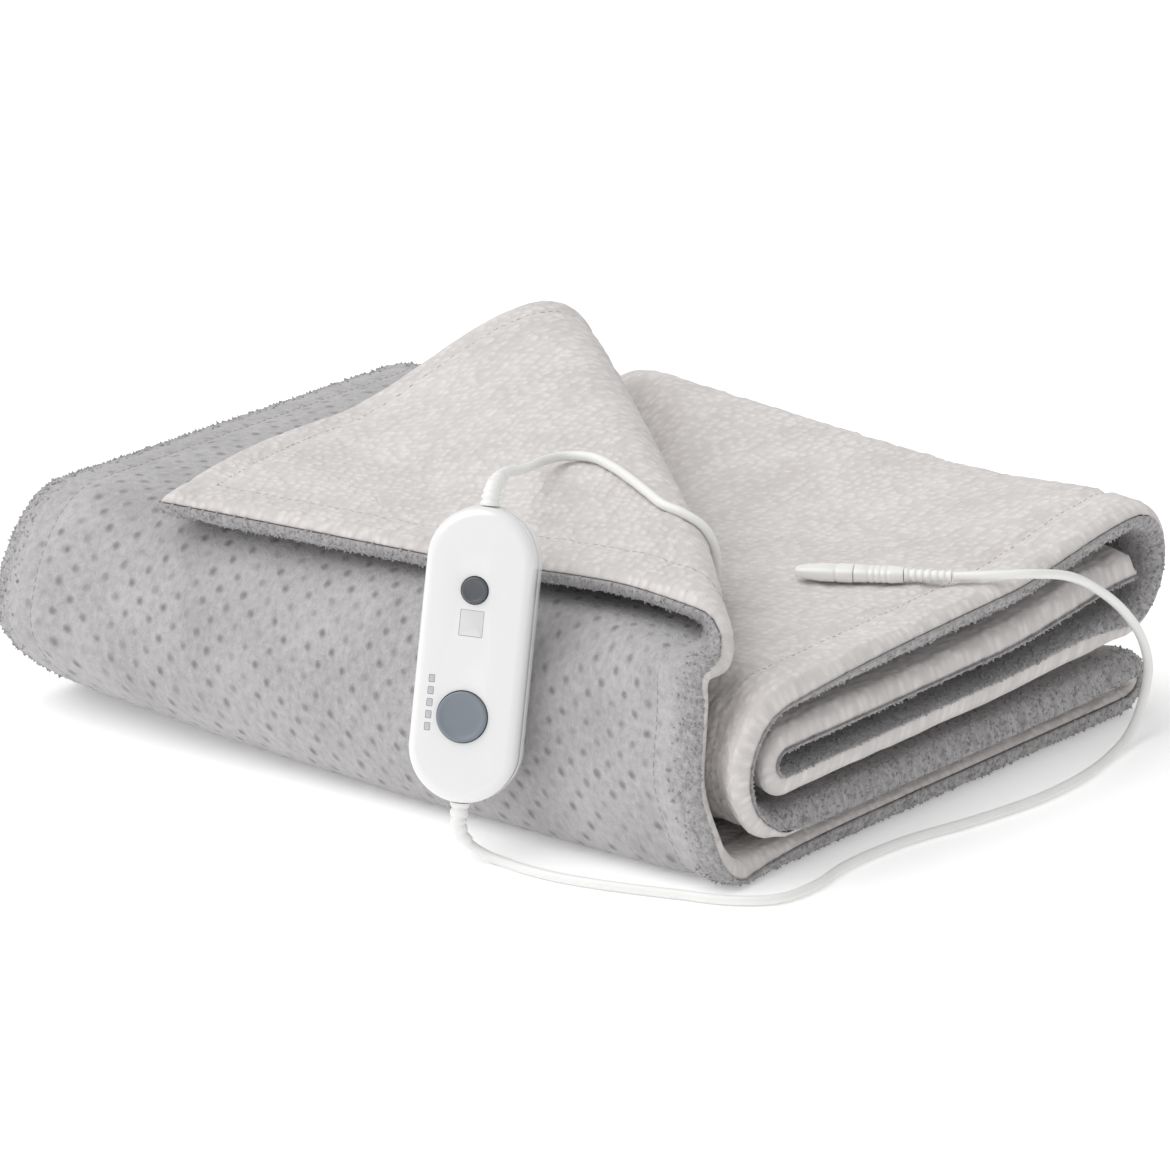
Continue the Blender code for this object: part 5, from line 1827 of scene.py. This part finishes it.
STITCH_LIFT = -0.1
STITCH_GAP = 1.1
STITCH_LINE_STEP = 1.6
STITCH_END_STEPS = 240
# A stitch's rings: how far along it each lies, and its radius.
STITCH_RINGS = ((0.0, 0.1), (0.25, 0.36), (0.75, 0.36), (1.0, 0.1))
STITCH_SIDES = 6


def top_line(y, outer):
    """The pile's surface along the top layer at Y, from the free edge to the front fold."""
    start, end = flat_start(y), top_end(y) - END_CREASE
    count = round((end - start) / STITCH_LINE_STEP)
    steps = [mix(end, start, i / count) for i in range(count + 1)]
    return [top_place(x, y, outer, 1.0, STITCH_LIFT)[0] for x in steps]


def fold_line(y, outer):
    """The pile's surface along the folds below the top layer at Y."""
    rows = stations(y)
    made, along = [], 0.0
    for i in range(1, len(rows)):
        along -= path_step(rows[i - 1], rows[i])
        made.append(fold_place(rows, i, along, y, outer, 1.0, STITCH_LIFT)[0])
    return made


def end_line(inset, outer):
    """The pile's surface along the top layer's free edge, between the two side hems' stitches."""
    shares = [i / STITCH_END_STEPS for i in range(STITCH_END_STEPS + 1)]
    steps = [mix(SIDE_CREASE, STRIP_WIDTH - SIDE_CREASE, share) for share in shares]
    return [top_place(top_end(y) - inset, y, outer, 1.0, STITCH_LIFT)[0] for y in steps]


def sew(shape, line, length):
    """Adds stitches along a line: short threads that dive in at both ends, with gaps between them."""
    walked, marks = 0.0, [0.0]
    for a, b in zip(line, line[1:]):
        walked += (b - a).length
        marks.append(walked)
    pitch = length + STITCH_GAP
    index = 0
    for number in range(int(walked / pitch)):
        start = number * pitch
        index, first = place_along(line, marks, index, start)
        _, last = place_along(line, marks, index, start + length)
        add_stitch(shape, first, last)


def place_along(line, marks, index, reach):
    """The step of a line that a reach falls in, looked for from index on, and its place there."""
    while index < len(marks) - 2 and marks[index + 1] < reach:
        index += 1
    span = max(1e-6, marks[index + 1] - marks[index])
    return index, line[index].lerp(line[index + 1], (reach - marks[index]) / span)


def add_stitch(shape, first, last):
    heading = (last - first).normalized()
    across = heading.orthogonal().normalized()
    other = heading.cross(across)
    rings = []
    for share, thick in STITCH_RINGS:
        middle = first.lerp(last, share)
        ring = []
        for i in range(STITCH_SIDES):
            angle = 2 * math.pi * i / STITCH_SIDES
            point = middle + (across * math.cos(angle) + other * math.sin(angle)) * thick
            ring.append(shape.verts.new(to_frame(point)))
        rings.append(ring)
    for near, far in zip(rings, rings[1:]):
        for i in range(STITCH_SIDES):
            j = (i + 1) % STITCH_SIDES
            shape.faces.new((near[i], near[j], far[j], far[i]))
    shape.faces.new(list(reversed(rings[0])))
    shape.faces.new(rings[-1])


class HEATEDBLANKET_PT_pieces(bpy.types.Panel):
    """Sizes, colours and the pieces in the order that they are built"""

    bl_label = "Heated Blanket"
    bl_space_type = "VIEW_3D"
    bl_region_type = "UI"
    bl_category = "Heated Blanket"

    def draw(self, context):
        scene = context.scene
        for group in (scene.heated_studio, scene.heated_lead, scene.heated_cloth, scene.heated_handset):
            box = self.layout.box()
            for name in group.__annotations__:
                box.prop(group, name)
        for operator in OPERATORS:
            self.layout.operator(operator.bl_idname)


SETTINGS = (ClothSettings, HandsetSettings, LeadSettings, StudioSettings)
OPERATORS = (
    HEATEDBLANKET_OT_studio,
    HEATEDBLANKET_OT_connector,
    HEATEDBLANKET_OT_mains_plug,
    HEATEDBLANKET_OT_leads,
    HEATEDBLANKET_OT_cloths,
    HEATEDBLANKET_OT_stitching,
    HEATEDBLANKET_OT_housing,
    HEATEDBLANKET_OT_buttons,
    HEATEDBLANKET_OT_windows,
    HEATEDBLANKET_OT_collars,
)


def register():
    for known in (*SETTINGS, *OPERATORS, HEATEDBLANKET_PT_pieces):
        bpy.utils.register_class(known)
    bpy.types.Scene.heated_cloth = bpy.props.PointerProperty(type=ClothSettings)
    bpy.types.Scene.heated_handset = bpy.props.PointerProperty(type=HandsetSettings)
    bpy.types.Scene.heated_lead = bpy.props.PointerProperty(type=LeadSettings)
    bpy.types.Scene.heated_studio = bpy.props.PointerProperty(type=StudioSettings)


def unregister():
    for name in ("heated_cloth", "heated_handset", "heated_lead", "heated_studio"):
        delattr(bpy.types.Scene, name)
    for known in reversed((*SETTINGS, *OPERATORS, HEATEDBLANKET_PT_pieces)):
        bpy.utils.unregister_class(known)


def main():
    register()
    bpy.ops.heated_blanket.studio()
    bpy.ops.heated_blanket.connector()
    bpy.ops.heated_blanket.mains_plug()
    bpy.ops.heated_blanket.leads()
    bpy.ops.heated_blanket.cloths()
    bpy.ops.heated_blanket.stitching()
    bpy.ops.heated_blanket.housing()
    bpy.ops.heated_blanket.buttons()
    bpy.ops.heated_blanket.windows()
    bpy.ops.heated_blanket.collars()


if __name__ == "__main__":
    main()
